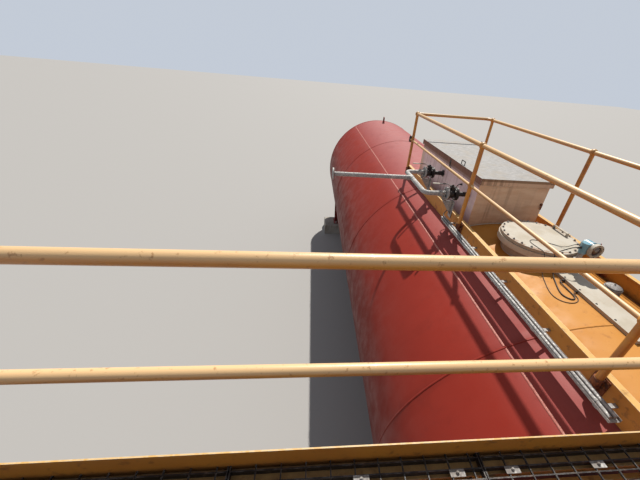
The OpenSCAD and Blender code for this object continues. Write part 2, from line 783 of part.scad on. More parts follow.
// A side direction carried along the route, so that the tube doesn't twist
function sides_of(p, i = 0, old = [0.1, 0.2, 1], done = []) = i == len(p) ? done :
    let (h = heading(p, i), next = unit(old - (old * h) * h))
        sides_of(p, i + 1, next, concat(done, [next]));
module cord(points, d, sides = 8) {
    side = sides_of(points);
    n = len(points);
    rings = [for (i = [0 : n - 1], k = [0 : sides - 1])
        let (u = side[i], v = cross(heading(points, i), u), a = 360 * k / sides)
        points[i] + d / 2 * (u * cos(a) + v * sin(a))];
    faces = concat([[for (k = [0 : sides - 1]) k]],
        [for (i = [0 : n - 2], k = [0 : sides - 1]) let (j = (k + 1) % sides)
            [i * sides + j, i * sides + k, (i + 1) * sides + k, (i + 1) * sides + j]],
        [[for (k = [sides - 1 : -1 : 0]) (n - 1) * sides + k]]);
    color(dark) polyhedron(rings, faces, convexity = 10);
}

// Routes of the cables, from one gland to the other, with each height given above the crown.
// A cable meets the bottom of each gland.
function on_crown(p) = [for (q = p) q + [0, 0, crown_z]];
gland_len = 26;
gland_seat = gland_len / 2;
cable_in = -2828;
lead_in = -3000;
hose_rise = 358;
hose_out = [-box_x, -1140, crown_z + hose_rise];
plate_gland_z = plate_top - 16;
cable_route = on_crown([[87.5, -2668, 289], [72, -2668, 289], [56, -2668, 289], [27, -2659, 280],
    [-2, -2634, 246], [-32, -2603, 202], [-70, -2603, 192], [-100, -2634, 187],
    [-109, -2680, 114], [-117, -2728, 30], [-135, -2790, 4], [-172, -2875, -2], [-208, -2965, -5],
    [-216, -3035, -6], [-178, -3092, -2], [-133, -3072, 2], [-122, -3005, 3], [-119, -2930, 5],
    [-118, -2868, 8], [-110, -2836, 12], [-99, -2828, 14], [-86, -2828, 14], [-73, -2828, 14]]);
lead_route = on_crown([[137, -2618, 284], [137, -2598, 284], [134, -2575, 272], [126, -2550, 246],
    [108, -2518, 209], [80, -2488, 191], [20, -2432, 188], [-60, -2378, 188], [-135, -2345, 188],
    [-190, -2362, 188], [-210, -2415, 188], [-200, -2490, 188], [-192, -2560, 190],
    [-190, -2600, 186], [-190, -2625, 154], [-192, -2645, 99], [-198, -2675, 34],
    [-212, -2730, -4], [-250, -2830, -13], [-290, -2940, -20], [-300, -3035, -21],
    [-262, -3108, -15], [-190, -3135, -6], [-125, -3105, 0], [-106, -3050, 2], [-105, -3016, 7],
    [-93, -3000, 14], [-73, -3000, 14]]);
hose_route = on_crown([[-473, -1140, 358], [-498, -1140, 358], [-530, -1150, 334],
    [-556, -1180, 289], [-575, -1220, 234], [-592, -1262, 176], [-612, -1294, 126],
    [-640, -1318, 89], [-675, -1336, 52], [-706, -1356, 20], [-724, -1378, 4],
    [-728.2, -1402, -1.2], [-728.2, -1422.5, -1.2]]);
module gauge_cable() { cord(spline(cable_route, 2), cable_d); }
module gauge_lead() { cord(lead_route, lead_d); }
module valve_cable() { cord(hose_route, hose_d); }

gland_wall = 4;
gland_hex = 7;
module gland(p, turn, d) {
    // A hexagon and a sleeve that the cable enters
    translate(p) rotate(turn) difference() {
        union() {
            cylinder(d = d + 2 * gland_hex, h = gland_len * 0.4, $fn = 6);
            cylinder(d = d + 2 * gland_wall, h = gland_len, $fn = 32);
        }
        translate([0, 0, gland_seat]) cylinder(d = d + 2 * fit, h = gland_len, $fn = 32);
    }
}
module cable_glands() {
    color(dark) {
        gland([stem_x - box_r - fit, stem_y, gauge_z + 5], [0, -90, 0], cable_d);
        gland([stem_x, stem_y + box_r + fit, gauge_z], [-90, 0, 0], lead_d);
        gland([plate_x0, cable_in, plate_gland_z], [0, -90, 0], cable_d);
        gland([plate_x0, lead_in, plate_gland_z], [0, -90, 0], lead_d);
        gland(hose_out, [0, -90, 0], hose_d);
        gland([-conduit_x[0], conduit_y1, conduit_z], [-90, 0, 0], hose_d);
    }
}

// Landing beside the walkway: bearers, legs, stools on the shell, grating, toe boards, rails
floor_z = crown_z + landing_rise;
bearer_top = floor_z - grating_t;
landing_back = landing_front - landing_w;
land_x0 = -landing_x - landing_len;
leg_out = 500;
leg_x = -tank_r - leg_out;
leg_w = 100;
leg_foot = 220;
leg_foot_t = 16;
beam_w = 60;
stool_in = 260;
stool_x = -landing_x - stool_in;
leg_y = [landing_front - leg_w / 2, landing_back + leg_w / 2];
module channel_x(y, face) {
    // A channel that lies across the tank, its flanges pointing to +face
    translate([land_x0, y, bearer_top - bearer_h]) scale([1, face, 1]) {
        cube([landing_len, 8, bearer_h]);
        cube([landing_len, 75, 11]);
        translate([0, 0, bearer_h - 11]) cube([landing_len, 75, 11]);
    }
}
module landing_bearers() {
    color(yellow) {
        channel_x(landing_front, -1);
        mirror([0, 1, 0]) channel_x(-landing_back, -1);
        for (x = [land_x0, land_x0 + landing_len / 3, land_x0 + 2 * landing_len / 3,
                  -landing_x - beam_w])
            translate([x, landing_back + 8 - eps, bearer_top - 100])
                cube([beam_w, landing_w - 16 + 2 * eps, 89]);
    }
}
module landing_legs() {
    color(yellow) for (y = leg_y) {
        translate([leg_x - leg_w / 2, y - leg_w / 2, 0])
            cube([leg_w, leg_w, bearer_top - bearer_h]);
        translate([leg_x - leg_foot / 2, y - leg_foot / 2, 0])
            cube([leg_foot, leg_foot, leg_foot_t]);
    }
}
module landing_stools() {
    color(red) for (y = leg_y) difference() {
        translate([stool_x, y - leg_w / 2, axis_z])
            cube([leg_w, leg_w, bearer_top - bearer_h - axis_z]);
        shell_cut();
    }
}
bar_pitch = 40;
bar_t = 5;
rod_pitch = 100;
panel_len = (landing_len - 20) / 3;
module grating(i) {
    color(dark) translate([land_x0 + 5 + i * (panel_len + 5), landing_back, bearer_top]) {
        intersection() {
            cube([panel_len, landing_w, grating_t]);
            union() {
                for (y = [0 : bar_pitch : landing_w])
                    translate([0, y - bar_t / 2, 0]) cube([panel_len, bar_t, grating_t]);
                for (x = [bar_t / 2 : rod_pitch : panel_len])
                    translate([x - bar_t / 2, 0, grating_t - 8]) cube([bar_t, landing_w, 8]);
                for (x = [0, panel_len - bar_t])
                    translate([x, 0, 0]) cube([bar_t, landing_w, grating_t]);
            }
        }
    }
}
module grating_1() { grating(0); }
module grating_2() { grating(1); }
module grating_3() { grating(2); }
toe_t = 6;
module toe_boards() {
    color(yellow) for (y = [landing_front + fit, landing_back - toe_t - fit])
        translate([land_x0, y, bearer_top - 40]) cube([landing_len, toe_t, grating_t + 40 + toe_h]);
}
rail_r = landing_tube / 2;
module landing_rails(y, out) {
    end_x = -landing_x - 40;
    top = floor_z + landing_rail;
    mid = floor_z + landing_rail * 0.56;
    post_y = y + out * (toe_t + 2 * fit + rail_r);
    b = 80;
    color(yellow) {
        across(rail_r, land_x0 + b, end_x - b, post_y, top);
        across(rail_r, land_x0, end_x, post_y, mid);
        for (x = [land_x0, end_x]) translate([x, post_y, bearer_top - bearer_h + 20])
            cylinder(r = rail_r, h = top - b - bearer_top + bearer_h - 20);
        translate([end_x - b, post_y, top - b]) rotate([90, 0, 0]) rotate_extrude(angle = 90)
            translate([b, 0]) circle(r = rail_r, $fn = 48);
        translate([land_x0 + b, post_y, top - b]) rotate([90, -90, 0]) rotate_extrude(angle = 90)
            translate([b, 0]) circle(r = rail_r, $fn = 48);
    }
}
module landing_rails_front() { landing_rails(landing_front, 1); }
module landing_rails_back() { landing_rails(landing_back, -1); }

plinth_near();
plinth_far();
saddle_near();
saddle_far();
course_1();
course_2();
course_3();
course_4();
head_near();
head_far();
lifting_lugs();
kerb_inner();
kerb_outer();
feet_inner();
feet_outer();
posts_inner();
posts_outer();
top_rail_inner();
top_rail_outer();
mid_rail_inner();
mid_rail_outer();
box_near_wall();
box_far_wall();
box_inner_wall();
box_outer_wall();
box_lid();
lid_handle();
hinge_knuckles();
lid_hinges();
manway_neck();
manway_cover();
manway_handle();
gauge_neck();
gauge_head();
gauge_window();
gauge_cover();
vent_cap();
box_nozzles();
valve_near();
valve_far();
valve_levers();
pipe_supports();
header_pipe();
cable_tray();
conduits();
cable_glands();
gauge_cable();
gauge_lead();
valve_cable();
landing_bearers();
landing_legs();
landing_stools();
grating_1();
grating_2();
grating_3();
toe_boards();
landing_rails_front();
landing_rails_back();
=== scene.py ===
# %% [markdown]
# # A horizontal pressure tank, dressed in Blender
#
# The tank is a rolled steel shell on two saddles, with a railed walkway, a valve box and a
# manway on its crown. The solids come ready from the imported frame. This lesson gives them
# paint, rust and zinc, and adds what a solid model leaves out: welds, bolts and seams.
# We load the frame first, because every later piece is placed from its sizes.

# %% Load the frame
import random
from math import asin, cos, pi, radians, sin, sqrt

import bmesh
import bpy
import numpy as np
from mathutils import Matrix, Vector


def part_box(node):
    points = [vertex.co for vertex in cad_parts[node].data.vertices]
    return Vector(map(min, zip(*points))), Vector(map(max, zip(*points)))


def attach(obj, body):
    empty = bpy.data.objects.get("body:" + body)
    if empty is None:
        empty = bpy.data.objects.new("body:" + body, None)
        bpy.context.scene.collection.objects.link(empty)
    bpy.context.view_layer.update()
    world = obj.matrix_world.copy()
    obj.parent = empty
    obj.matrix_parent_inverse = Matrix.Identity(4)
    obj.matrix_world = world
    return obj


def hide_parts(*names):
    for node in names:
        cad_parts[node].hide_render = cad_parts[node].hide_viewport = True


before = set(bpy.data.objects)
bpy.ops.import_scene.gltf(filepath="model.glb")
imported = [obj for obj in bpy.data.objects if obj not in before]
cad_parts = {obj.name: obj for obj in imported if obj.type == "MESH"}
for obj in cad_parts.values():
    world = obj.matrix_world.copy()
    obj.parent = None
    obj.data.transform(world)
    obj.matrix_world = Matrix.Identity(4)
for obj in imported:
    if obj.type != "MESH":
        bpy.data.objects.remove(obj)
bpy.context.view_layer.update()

# %% [markdown]
# ## The camera
#
# The photograph was taken from a landing above the walkway, looking down along the tank.
# Its place, three turns and focal length were solved from the straight rails, the round ends
# and the kerbs. We build the turn matrix from yaw, pitch and roll in place of aiming at a
# point, because an aimed camera has no roll and the picture leans by five degrees.

# %% Camera
CAMERA_AT = Vector((-2.509, -4.976, 5.65))
YAW = radians(7.5243)
PITCH = radians(31.497)
ROLL = radians(-5.1825)
FRAME_PX = 640
FOCAL_PX = 303.73
SHIFT = (-0.0355, 0.0192)
SENSOR_MM = 36.0


def camera_turn(yaw, pitch, roll):
    """The camera's rotation: right, up and backward axes as columns."""
    ahead = cos(pitch)
    forward = Vector((sin(yaw) * ahead, cos(yaw) * ahead, -sin(pitch)))
    level = Vector((cos(yaw), -sin(yaw), 0))
    down = forward.cross(level)
    right = cos(roll) * level + sin(roll) * down
    up = sin(roll) * level - cos(roll) * down
    return Matrix((right, up, -forward)).transposed()


def new_object(name, data):
    """An object that is linked into the scene."""
    made = bpy.data.objects.new(name, data)
    bpy.context.scene.collection.objects.link(made)
    return made


def make_camera():
    data = bpy.data.cameras.new("viewpoint")
    data.sensor_width = SENSOR_MM
    data.lens = FOCAL_PX / FRAME_PX * SENSOR_MM
    data.shift_x, data.shift_y = SHIFT
    data.clip_end = 500
    camera = new_object("viewpoint", data)
    camera.matrix_world = Matrix.Translation(CAMERA_AT) @ camera_turn(YAW, PITCH, ROLL).to_4x4()
    bpy.context.scene.camera = camera
    return camera


print("lens in mm:", round(make_camera().data.lens, 2))

# %% [markdown]
# ## The free cables
#
# Three cables lie on the crown: two run from the gauge round the manway to the glands of the
# yellow plate, and one runs from the valve box down to its conduit. Their routes are points in
# metres, the same ones that the solids follow. A smooth curve is laid through the points, its
# tightest bends are eased, and a round tube follows it, so the bends show no corners.

# %% Routes of the cables
GAUGE_CABLE = (
    (0.0875, -2.668, 4.335), (0.072, -2.668, 4.335), (0.056, -2.668, 4.335),
    (0.027, -2.659, 4.326), (-0.002, -2.634, 4.292), (-0.032, -2.603, 4.248),
    (-0.070, -2.603, 4.238), (-0.100, -2.634, 4.233), (-0.109, -2.680, 4.160),
    (-0.117, -2.728, 4.076), (-0.135, -2.790, 4.050), (-0.172, -2.875, 4.044),
    (-0.208, -2.965, 4.041), (-0.216, -3.035, 4.040), (-0.178, -3.092, 4.044),
    (-0.133, -3.072, 4.048), (-0.122, -3.005, 4.049), (-0.119, -2.930, 4.051),
    (-0.118, -2.868, 4.054), (-0.110, -2.836, 4.058), (-0.099, -2.828, 4.060),
    (-0.086, -2.828, 4.060), (-0.073, -2.828, 4.060))
GAUGE_LEAD = (
    (0.137, -2.618, 4.330), (0.137, -2.598, 4.330), (0.134, -2.575, 4.318),
    (0.126, -2.550, 4.292), (0.108, -2.518, 4.255), (0.080, -2.488, 4.237),
    (0.020, -2.432, 4.234), (-0.060, -2.378, 4.234), (-0.135, -2.345, 4.234),
    (-0.190, -2.362, 4.234), (-0.210, -2.415, 4.234), (-0.200, -2.490, 4.234),
    (-0.192, -2.560, 4.236), (-0.190, -2.600, 4.232), (-0.190, -2.625, 4.200),
    (-0.192, -2.645, 4.145), (-0.198, -2.675, 4.080), (-0.212, -2.730, 4.042),
    (-0.250, -2.830, 4.033), (-0.290, -2.940, 4.026), (-0.300, -3.035, 4.025),
    (-0.262, -3.108, 4.031), (-0.190, -3.135, 4.040), (-0.125, -3.105, 4.046),
    (-0.106, -3.050, 4.048), (-0.105, -3.016, 4.053), (-0.093, -3.000, 4.060),
    (-0.073, -3.000, 4.060))
VALVE_CABLE = (
    (-0.473, -1.140, 4.404), (-0.498, -1.140, 4.404), (-0.530, -1.150, 4.380),
    (-0.556, -1.180, 4.335), (-0.575, -1.220, 4.280), (-0.592, -1.262, 4.222),
    (-0.612, -1.294, 4.172), (-0.640, -1.318, 4.135), (-0.675, -1.336, 4.098),
    (-0.706, -1.356, 4.066), (-0.724, -1.378, 4.050), (-0.7282, -1.402, 4.0448),
    (-0.7282, -1.4225, 4.0448))
EASINGS = 16  # times that the corners of a route are rounded off
print("points of the routes:", [len(route) for route in (GAUGE_CABLE, GAUGE_LEAD, VALVE_CABLE)])


# %% Cables on their routes
def smooth_line(points, steps=8):
    """A curve through every point, cut into short straight steps, with its tightest bends eased."""
    line = []
    for i in range(len(points) - 1):
        four = (min(max(k, 0), len(points) - 1) for k in (i - 1, i, i + 1, i + 2))
        a, b, c, d = (Vector(points[k]) for k in four)
        for t in (k / steps for k in range(steps)):
            line.append(0.5 * (2 * b + (c - a) * t + (2 * a - 5 * b + 4 * c - d) * t ** 2
                               + (3 * b - a - 3 * c + d) * t ** 3))
    line.append(Vector(points[-1]))
    for _ in range(EASINGS):
        line[2:-2] = [(a + 2 * b + c) / 4 for a, b, c in zip(line[1:], line[2:], line[3:-1])]
    return line


def make_cord(name, route, diameter, node):
    """A round cable on its route, which stands for its solid and goes back into the tank."""
    line = smooth_line(route)
    curve = bpy.data.curves.new(name, "CURVE")
    curve.dimensions = "3D"
    curve.bevel_depth = 1.0  # each point's radius multiplies this, and also grows the curve's box
    curve.bevel_resolution = 3
    spline = curve.splines.new("POLY")
    spline.points.add(len(line) - 1)
    for point, place in zip(spline.points, line):
        point.co = (*place, 1)
        point.radius = diameter / 2
    spline.use_smooth = True
    cord = new_object(name, curve)
    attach(cord, "tank")
    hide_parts(node)
    return cord


CORDS = [make_cord("cable_of_gauge", GAUGE_CABLE, 0.010, "gauge_cable"),
         make_cord("lead_of_gauge", GAUGE_LEAD, 0.006, "gauge_lead"),
         make_cord("cable_of_valves", VALVE_CABLE, 0.012, "valve_cable")]

# %% [markdown]
# ## Small helpers
#
# Shader trees grow long when each node, value and link takes a line of its own. A few helpers
# keep them short: `fill` links what is a socket and sets what is a plain value, `add` places a
# node and fills its inputs, `sums` does one step of arithmetic, and `blend` lays one colour
# over another by a mask.

# %% Shader helpers
def fill(tree, node, values):
    """Fills a node's inputs from (place or name, value) pairs."""
    for key, value in values:
        if isinstance(value, bpy.types.NodeSocket):
            tree.links.new(value, node.inputs[key])
        else:
            node.inputs[key].default_value = value


def add(tree, kind, *values, settings=None, **named):
    """Adds a node. Its inputs are given in order or by name."""
    made = tree.nodes.new("ShaderNode" + kind)
    for key, value in (settings or {}).items():
        setattr(made, key, value)
    fill(tree, made, [*enumerate(values), *named.items()])
    return made


def sums(tree, operation, *values):
    """One arithmetic step, as a socket."""
    return add(tree, "Math", *values, settings={"operation": operation}).outputs[0]


def blend(tree, mask, under, over, share=1.0):
    """Colour under, covered by colour over where the mask is 1, up to a share of it."""
    if share < 1.0:
        mask = sums(tree, "MULTIPLY", mask, share)
    made = add(tree, "Mix", settings={"data_type": "RGBA"})
    fill(tree, made, ((0, mask), (6, under), (7, over)))
    return made.outputs[2]


def rgb(red, green, blue):
    """A colour read off as 0 to 255 screen values, in the linear light that shaders use."""
    return tuple(((c / 255 + 0.055) / 1.055) ** 2.4 for c in (red, green, blue)) + (1.0,)


print("red of the shell in linear light:", [round(c, 3) for c in rgb(146, 54, 44)[:3]])

# %% [markdown]
# ## Effects that several finishes share
#
# Paint, zinc and iron look different, but they weather in the same ways: blotches, rain
# runs, rubbed edges, dirt in corners and a slightly rippled surface. The corner layer darkens
# by ambient occlusion, so it is painted shade as well as dirt, and one more mask, of which way
# a surface faces, lets the finishes paint lit tops and shaded sides. Each is one node group with
# named inputs, so a material places it with its own values and we tune each effect in one place.
# The places come from the object's own coordinates, in metres, so no unwrapping is needed.

# %% Groups, noise and steps
def effect(name, output, build, **inputs):
    """A node group whose inputs are floats or a place, and whose one output is a mask or height."""
    group = bpy.data.node_groups.new(name, "ShaderNodeTree")
    for label, value in inputs.items():
        kind = "NodeSocketVector" if value is None else "NodeSocketFloat"
        socket = group.interface.new_socket(label, in_out="INPUT", socket_type=kind)
        if value is not None:
            socket.default_value = value
    group.interface.new_socket(output, in_out="OUTPUT", socket_type="NodeSocketFloat")
    entry = group.nodes.new("NodeGroupInput")
    leave = group.nodes.new("NodeGroupOutput")
    sockets = [entry.outputs[label] for label in inputs]
    group.links.new(build(group, *sockets), leave.inputs[output])
    return group


def noise(tree, vector, scale, detail=4.0, rough=0.55):
    made = add(tree, "TexNoise", Vector=vector, Scale=scale, Detail=detail, Roughness=rough)
    return made.outputs["Fac"]


def ramp(tree, value, low, high):
    """0 below low and 1 above high, with a smooth step between."""
    step = add(tree, "MapRange", value, low, high, settings={"interpolation_type": "SMOOTHSTEP"})
    return step.outputs[0]


def step_at(tree, value, edge, soft):
    """0 below an edge and 1 above it, softened over a distance on both sides."""
    return ramp(tree, value, edge - soft, edge + soft)


print("effects are made of:", [tool.__name__ for tool in (noise, ramp, step_at)])


# %% Six effects
def build_blotches(tree, place, scale, level, softness):
    fine = noise(tree, place, scale, 6.0, 0.6)
    low = sums(tree, "SUBTRACT", level, softness)
    return ramp(tree, fine, low, sums(tree, "ADD", level, softness))


def build_runs(tree, place, scale, level):
    squeeze = add(tree, "Mapping", Vector=place, Scale=(1.0, 1.0, 0.045)).outputs[0]
    lines = noise(tree, squeeze, scale, 3.0)
    broken = ramp(tree, noise(tree, place, 1.3, 3.0), 0.4, 0.62)
    low = sums(tree, "SUBTRACT", level, 0.07)
    high = sums(tree, "ADD", level, 0.09)
    return sums(tree, "MULTIPLY", ramp(tree, lines, low, high), broken)


def build_rubbed(tree, place, reach, level):
    rounded = add(tree, "Bevel", reach, settings={"samples": 4}).outputs[0]
    true = add(tree, "NewGeometry").outputs["Normal"]
    dot = add(tree, "VectorMath", rounded, true, settings={"operation": "DOT_PRODUCT"})
    same = dot.outputs["Value"]
    bare = ramp(tree, sums(tree, "SUBTRACT", 1.0, same), 0.02, 0.2)
    high = sums(tree, "ADD", level, 0.14)
    patchy = ramp(tree, noise(tree, place, 34.0, 5.0), level, high)
    return sums(tree, "MULTIPLY", bare, patchy)


# Darkens where ambient occlusion finds surfaces close by, in corners, creases and under parts: dirt
# there, and painted shade as well.
def build_corner_dirt_and_shade(tree, place, reach):
    rays = add(tree, "AmbientOcclusion", Distance=reach, settings={"samples": 6})
    open_sky = rays.outputs["AO"]
    grain = noise(tree, place, 22.0, 5.0)
    uneven = sums(tree, "MULTIPLY", sums(tree, "SUBTRACT", grain, 0.5), 0.5)
    hidden = sums(tree, "SUBTRACT", 1.0, open_sky)
    return ramp(tree, sums(tree, "SUBTRACT", hidden, uneven), 0.12, 0.6)


def build_skin(tree, place, scale, waves):
    peel = noise(tree, place, scale, 2.0, 0.5)
    swell = sums(tree, "MULTIPLY", noise(tree, place, 2.4, 1.0, 0.4), waves)
    return sums(tree, "ADD", sums(tree, "MULTIPLY", peel, 0.35), swell)


def build_facing(tree, low, high):
    upward = add(tree, "SeparateXYZ", add(tree, "NewGeometry").outputs["Normal"]).outputs["Z"]
    return ramp(tree, upward, low, high)


BLOTCHES = effect("Blotches", "Mask", build_blotches, Place=None, Scale=3.0, Level=0.55,
                  Softness=0.1)
RUNS = effect("Rain runs", "Mask", build_runs, Place=None, Scale=9.0, Level=0.6)
RUBBED = effect("Rubbed edges", "Mask", build_rubbed, Place=None, Reach=0.004, Level=0.4)
CORNER_DIRT_AND_SHADE = effect("Dirt and painted shade in corners", "Mask", build_corner_dirt_and_shade, Place=None, Reach=0.05)
SKIN = effect("Paint skin", "Height", build_skin, Place=None, Scale=220.0, Waves=0.6)
FACING = effect("Facing the sky", "Mask", build_facing, Low=0.2, High=0.95)
print("effect groups:", [group.name for group in bpy.data.node_groups])


# %% Placing an effect in a material
def use(tree, group, **values):
    """Places an effect group in a material and returns its one output."""
    made = tree.nodes.new("ShaderNodeGroup")
    made.node_tree = group
    fill(tree, made, values.items())
    return made.outputs[0]


def layered(tree, place, base, *layers):
    """Lays effects over a colour in turn: group, colour, the group's values and maybe a share."""
    for group, colour, values, *share in layers:
        if "Place" in group.interface.items_tree:
            values["Place"] = place
        base = blend(tree, use(tree, group, **values), base, rgb(*colour), *share)
    return base


def between(tree, value, low, high, soft=0.002):
    """1 where value lies between low and high."""
    below = step_at(tree, value, high, -soft)
    return sums(tree, "MULTIPLY", step_at(tree, value, low, soft), below)


FINISHES = {}


def add_finish(key, paint, name=None):
    """A material: paint(tree, place) gives the sockets and the plain values of its shader."""
    material = bpy.data.materials.new(name or paint.__name__)
    material.use_nodes = True
    tree = material.node_tree
    tree.nodes.clear()
    looks = paint(tree, add(tree, "TexCoord").outputs["Object"])
    if "Height" in looks:
        bump = add(tree, "Bump", Height=looks.pop("Height"), Distance=looks.pop("Depth"))
        looks["Normal"] = bump.outputs[0]
    shader = add(tree, "BsdfPrincipled")
    fill(tree, shader, looks.items())
    add(tree, "OutputMaterial", shader.outputs[0])
    FINISHES[key] = material


def skin(tree, place, scale, waves, depth):
    """The height of a paint's skin, and how deep it is in metres."""
    return {"Height": use(tree, SKIN, Place=place, Scale=scale, Waves=waves), "Depth": depth}


print("groups ready to place:", len(bpy.data.node_groups))

# %% [markdown]
# ## Oxide red and the yellow walkway
#
# The walkway has no floor of its own: it is the crown of the shell, painted yellow between
# the two kerbs. So red and yellow are one material here, parted by a mask in metres taken from
# the kerbs' own box. The red is bleached towards pink where it faces the sky, and that pink also
# paints the sky's sheen on the crown. Low on the flanks the red is painted darker and browner,
# as shade, and rain runs streak it. The paint has gone chalky, so its gloss is kept low, and
# slight waves in its skin break up the light.

# %% Shell paint
kerb_low, kerb_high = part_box("kerb_outer")
WALK_HALF = kerb_high.x - 0.008
WALK_ENDS = (kerb_low.y, kerb_high.y)
SEAM_Y = (-6.8, -3.4, 0.0, 3.4, 6.8)
SEAM_STAIN = 0.05  # half the width of the stained band along a ring weld
BELOW_WALK = 3.05  # height on the flanks under which nothing is yellow


def deck_paint(tree, place):
    """The yellow of the walkway, bleached, trodden and stained in patches."""
    return layered(
        tree, place, rgb(190, 128, 54),
        (BLOTCHES, (198, 140, 70), dict(Scale=1.7, Level=0.5, Softness=0.22)),
        (BLOTCHES, (160, 106, 54), dict(Scale=13.0, Level=0.64, Softness=0.07), 0.55),
        (BLOTCHES, (128, 88, 52), dict(Scale=60.0, Level=0.68, Softness=0.04), 0.5),
        (BLOTCHES, (214, 200, 180), dict(Scale=4.4, Level=0.74, Softness=0.02), 0.8),
        # dirt and painted shade where parts meet the deck
        (CORNER_DIRT_AND_SHADE, (112, 66, 34), dict(Reach=0.12), 0.6))


def shell_paint(tree, place):
    axes = add(tree, "SeparateXYZ", place).outputs
    red = layered(
        tree, place, rgb(144, 46, 34),
        (BLOTCHES, (153, 52, 40), dict(Scale=0.7, Level=0.5, Softness=0.25)),
        # paler pink where it faces the sky: sun bleaching, and a painted sheen of the sky
        (FACING, (162, 92, 90), dict(Low=0.76, High=1.0)),
        # darker and browner on faces that turn downward: painted shade
        (FACING, (100, 30, 24), dict(Low=0.5, High=-0.1)),
        (RUNS, (116, 40, 32), dict(Scale=5.0, Level=0.6), 0.25),
        (BLOTCHES, (128, 46, 38), dict(Scale=9.0, Level=0.66, Softness=0.08), 0.35),
        (BLOTCHES, (176, 104, 96), dict(Scale=75.0, Level=0.7, Softness=0.03), 0.3))
    for seam in SEAM_Y:
        beside = between(tree, axes["Y"], seam - SEAM_STAIN, seam + SEAM_STAIN, 0.035)
        red = blend(tree, beside, red, rgb(126, 42, 34), 0.3)
    red = layered(tree, place, red,
                  # dirt and painted shade where parts meet the shell
                  (CORNER_DIRT_AND_SHADE, (70, 34, 26), dict(Reach=0.1), 0.6))
    across = between(tree, axes["X"], -WALK_HALF, WALK_HALF)
    along = between(tree, axes["Y"], *WALK_ENDS)
    strip = sums(tree, "MULTIPLY", across, along)
    deck = sums(tree, "MULTIPLY", strip, step_at(tree, axes["Z"], BELOW_WALK, 0.05))
    patches = use(tree, BLOTCHES, Place=place, Scale=5.0, Level=0.5, Softness=0.3)
    return {
        "Base Color": blend(tree, deck, red, deck_paint(tree, place)),
        "Roughness": ramp(tree, patches, -1.6, 2.4),
        "Specular IOR Level": 0.16,
        **skin(tree, place, 120.0, 0.25, 0.0014),
    }


def seam_highlight_paint(tree, place):
    """The same red on a hand-laid bead, painted lighter all over as a highlight where it stands
    proud, and chipped paler in patches.
    """
    ripples = noise(tree, place, 260.0, 1.0, 0.5)
    base = layered(tree, place, rgb(186, 104, 92),
                   (BLOTCHES, (206, 138, 124), dict(Scale=30.0, Level=0.5, Softness=0.15)))
    return {"Base Color": base, "Roughness": 0.42, "Height": ripples, "Depth": 0.002}


add_finish("red", shell_paint)
add_finish("seam", seam_highlight_paint)
print("painted walkway, half width and ends:", [round(v, 3) for v in (WALK_HALF, *WALK_ENDS)])

# %% [markdown]
# ## Rails and kerbs
#
# The tubes are the same yellow. Their upper side is painted pale tan, which is sun bleaching
# and a painted highlight both, and their lower side is painted brown as shade. The direction a
# point faces is the mask for both, so every tube of any slope gets it right. Whole stretches of
# tube have faded besides. The kerbs are mustard and dirty on their sides, rubbed to pale primer
# along the edges, and red overspray shows low down. The tops of posts and kerbs are painted
# paler, as a highlight.

# %% Yellow finishes
OVERSPRAY = 0.05  # height of the red on the foot of the kerbs


def rail_paint(tree, place):
    base = layered(
        tree, place, rgb(200, 138, 58),
        (BLOTCHES, (208, 148, 70), dict(Scale=9.0, Level=0.5, Softness=0.2)),
        (BLOTCHES, (180, 120, 82), dict(Scale=0.9, Level=0.5, Softness=0.12), 0.7),
        # upper side pale tan: sun bleaching, and a painted highlight
        (FACING, (228, 190, 140), dict(Low=0.0, High=0.7)),
        # lower side brown: painted shade
        (FACING, (182, 118, 40), dict(Low=0.1, High=-0.8)),
        (BLOTCHES, (150, 96, 46), dict(Scale=52.0, Level=0.64, Softness=0.05), 0.6),
        (BLOTCHES, (118, 66, 36), dict(Scale=24.0, Level=0.73, Softness=0.03), 0.8),
        # dirt and painted shade where parts meet
        (CORNER_DIRT_AND_SHADE, (96, 56, 30), dict(Reach=0.02), 0.7))
    return {"Base Color": base, "Roughness": 0.38, "Coat Weight": 0.2,
            **skin(tree, place, 300.0, 0.1, 0.001)}


def post_paint(tree, place):
    base = layered(
        tree, place, rgb(204, 140, 56),
        (BLOTCHES, (184, 116, 54), dict(Scale=7.0, Level=0.52, Softness=0.14)),
        (RUNS, (134, 78, 44), dict(Scale=26.0, Level=0.52), 0.5),
        (BLOTCHES, (196, 150, 96), dict(Scale=40.0, Level=0.68, Softness=0.04), 0.7),
        # paler on upward faces: a painted highlight
        (FACING, (192, 152, 100), dict(Low=0.2, High=0.9)),
        # dirt and painted shade where parts meet
        (CORNER_DIRT_AND_SHADE, (84, 48, 30), dict(Reach=0.03), 0.8))
    return {"Base Color": base, "Roughness": 0.45, **skin(tree, place, 260.0, 0.1, 0.001)}


def kerb_paint(tree, place):
    axes = add(tree, "SeparateXYZ", place).outputs
    base = layered(
        tree, place, rgb(206, 140, 54),
        (BLOTCHES, (196, 130, 56), dict(Scale=3.0, Level=0.5, Softness=0.2)),
        # paler on upward faces: a painted highlight
        (FACING, (210, 168, 98), dict(Low=0.4, High=0.9)),
        (BLOTCHES, (136, 88, 44), dict(Scale=17.0, Level=0.62, Softness=0.06), 0.6))
    low = step_at(tree, axes["Z"], kerb_low.z + OVERSPRAY, -0.04)
    patch = use(tree, BLOTCHES, Place=place, Scale=5.0, Level=0.56, Softness=0.03)
    base = blend(tree, sums(tree, "MULTIPLY", low, patch), base, rgb(150, 52, 38))
    base = layered(
        tree, place, base,
        (RUBBED, (222, 208, 180), dict(Reach=0.006, Level=0.4)),
        # dirt and painted shade where parts meet
        (CORNER_DIRT_AND_SHADE, (88, 52, 30), dict(Reach=0.06), 0.7))
    return {"Base Color": base, "Roughness": 0.5, **skin(tree, place, 180.0, 0.3, 0.0015)}


add_finish("rail", rail_paint)
add_finish("post", post_paint)
add_finish("kerb", kerb_paint)
print("with the yellow finishes:", len(FINISHES))

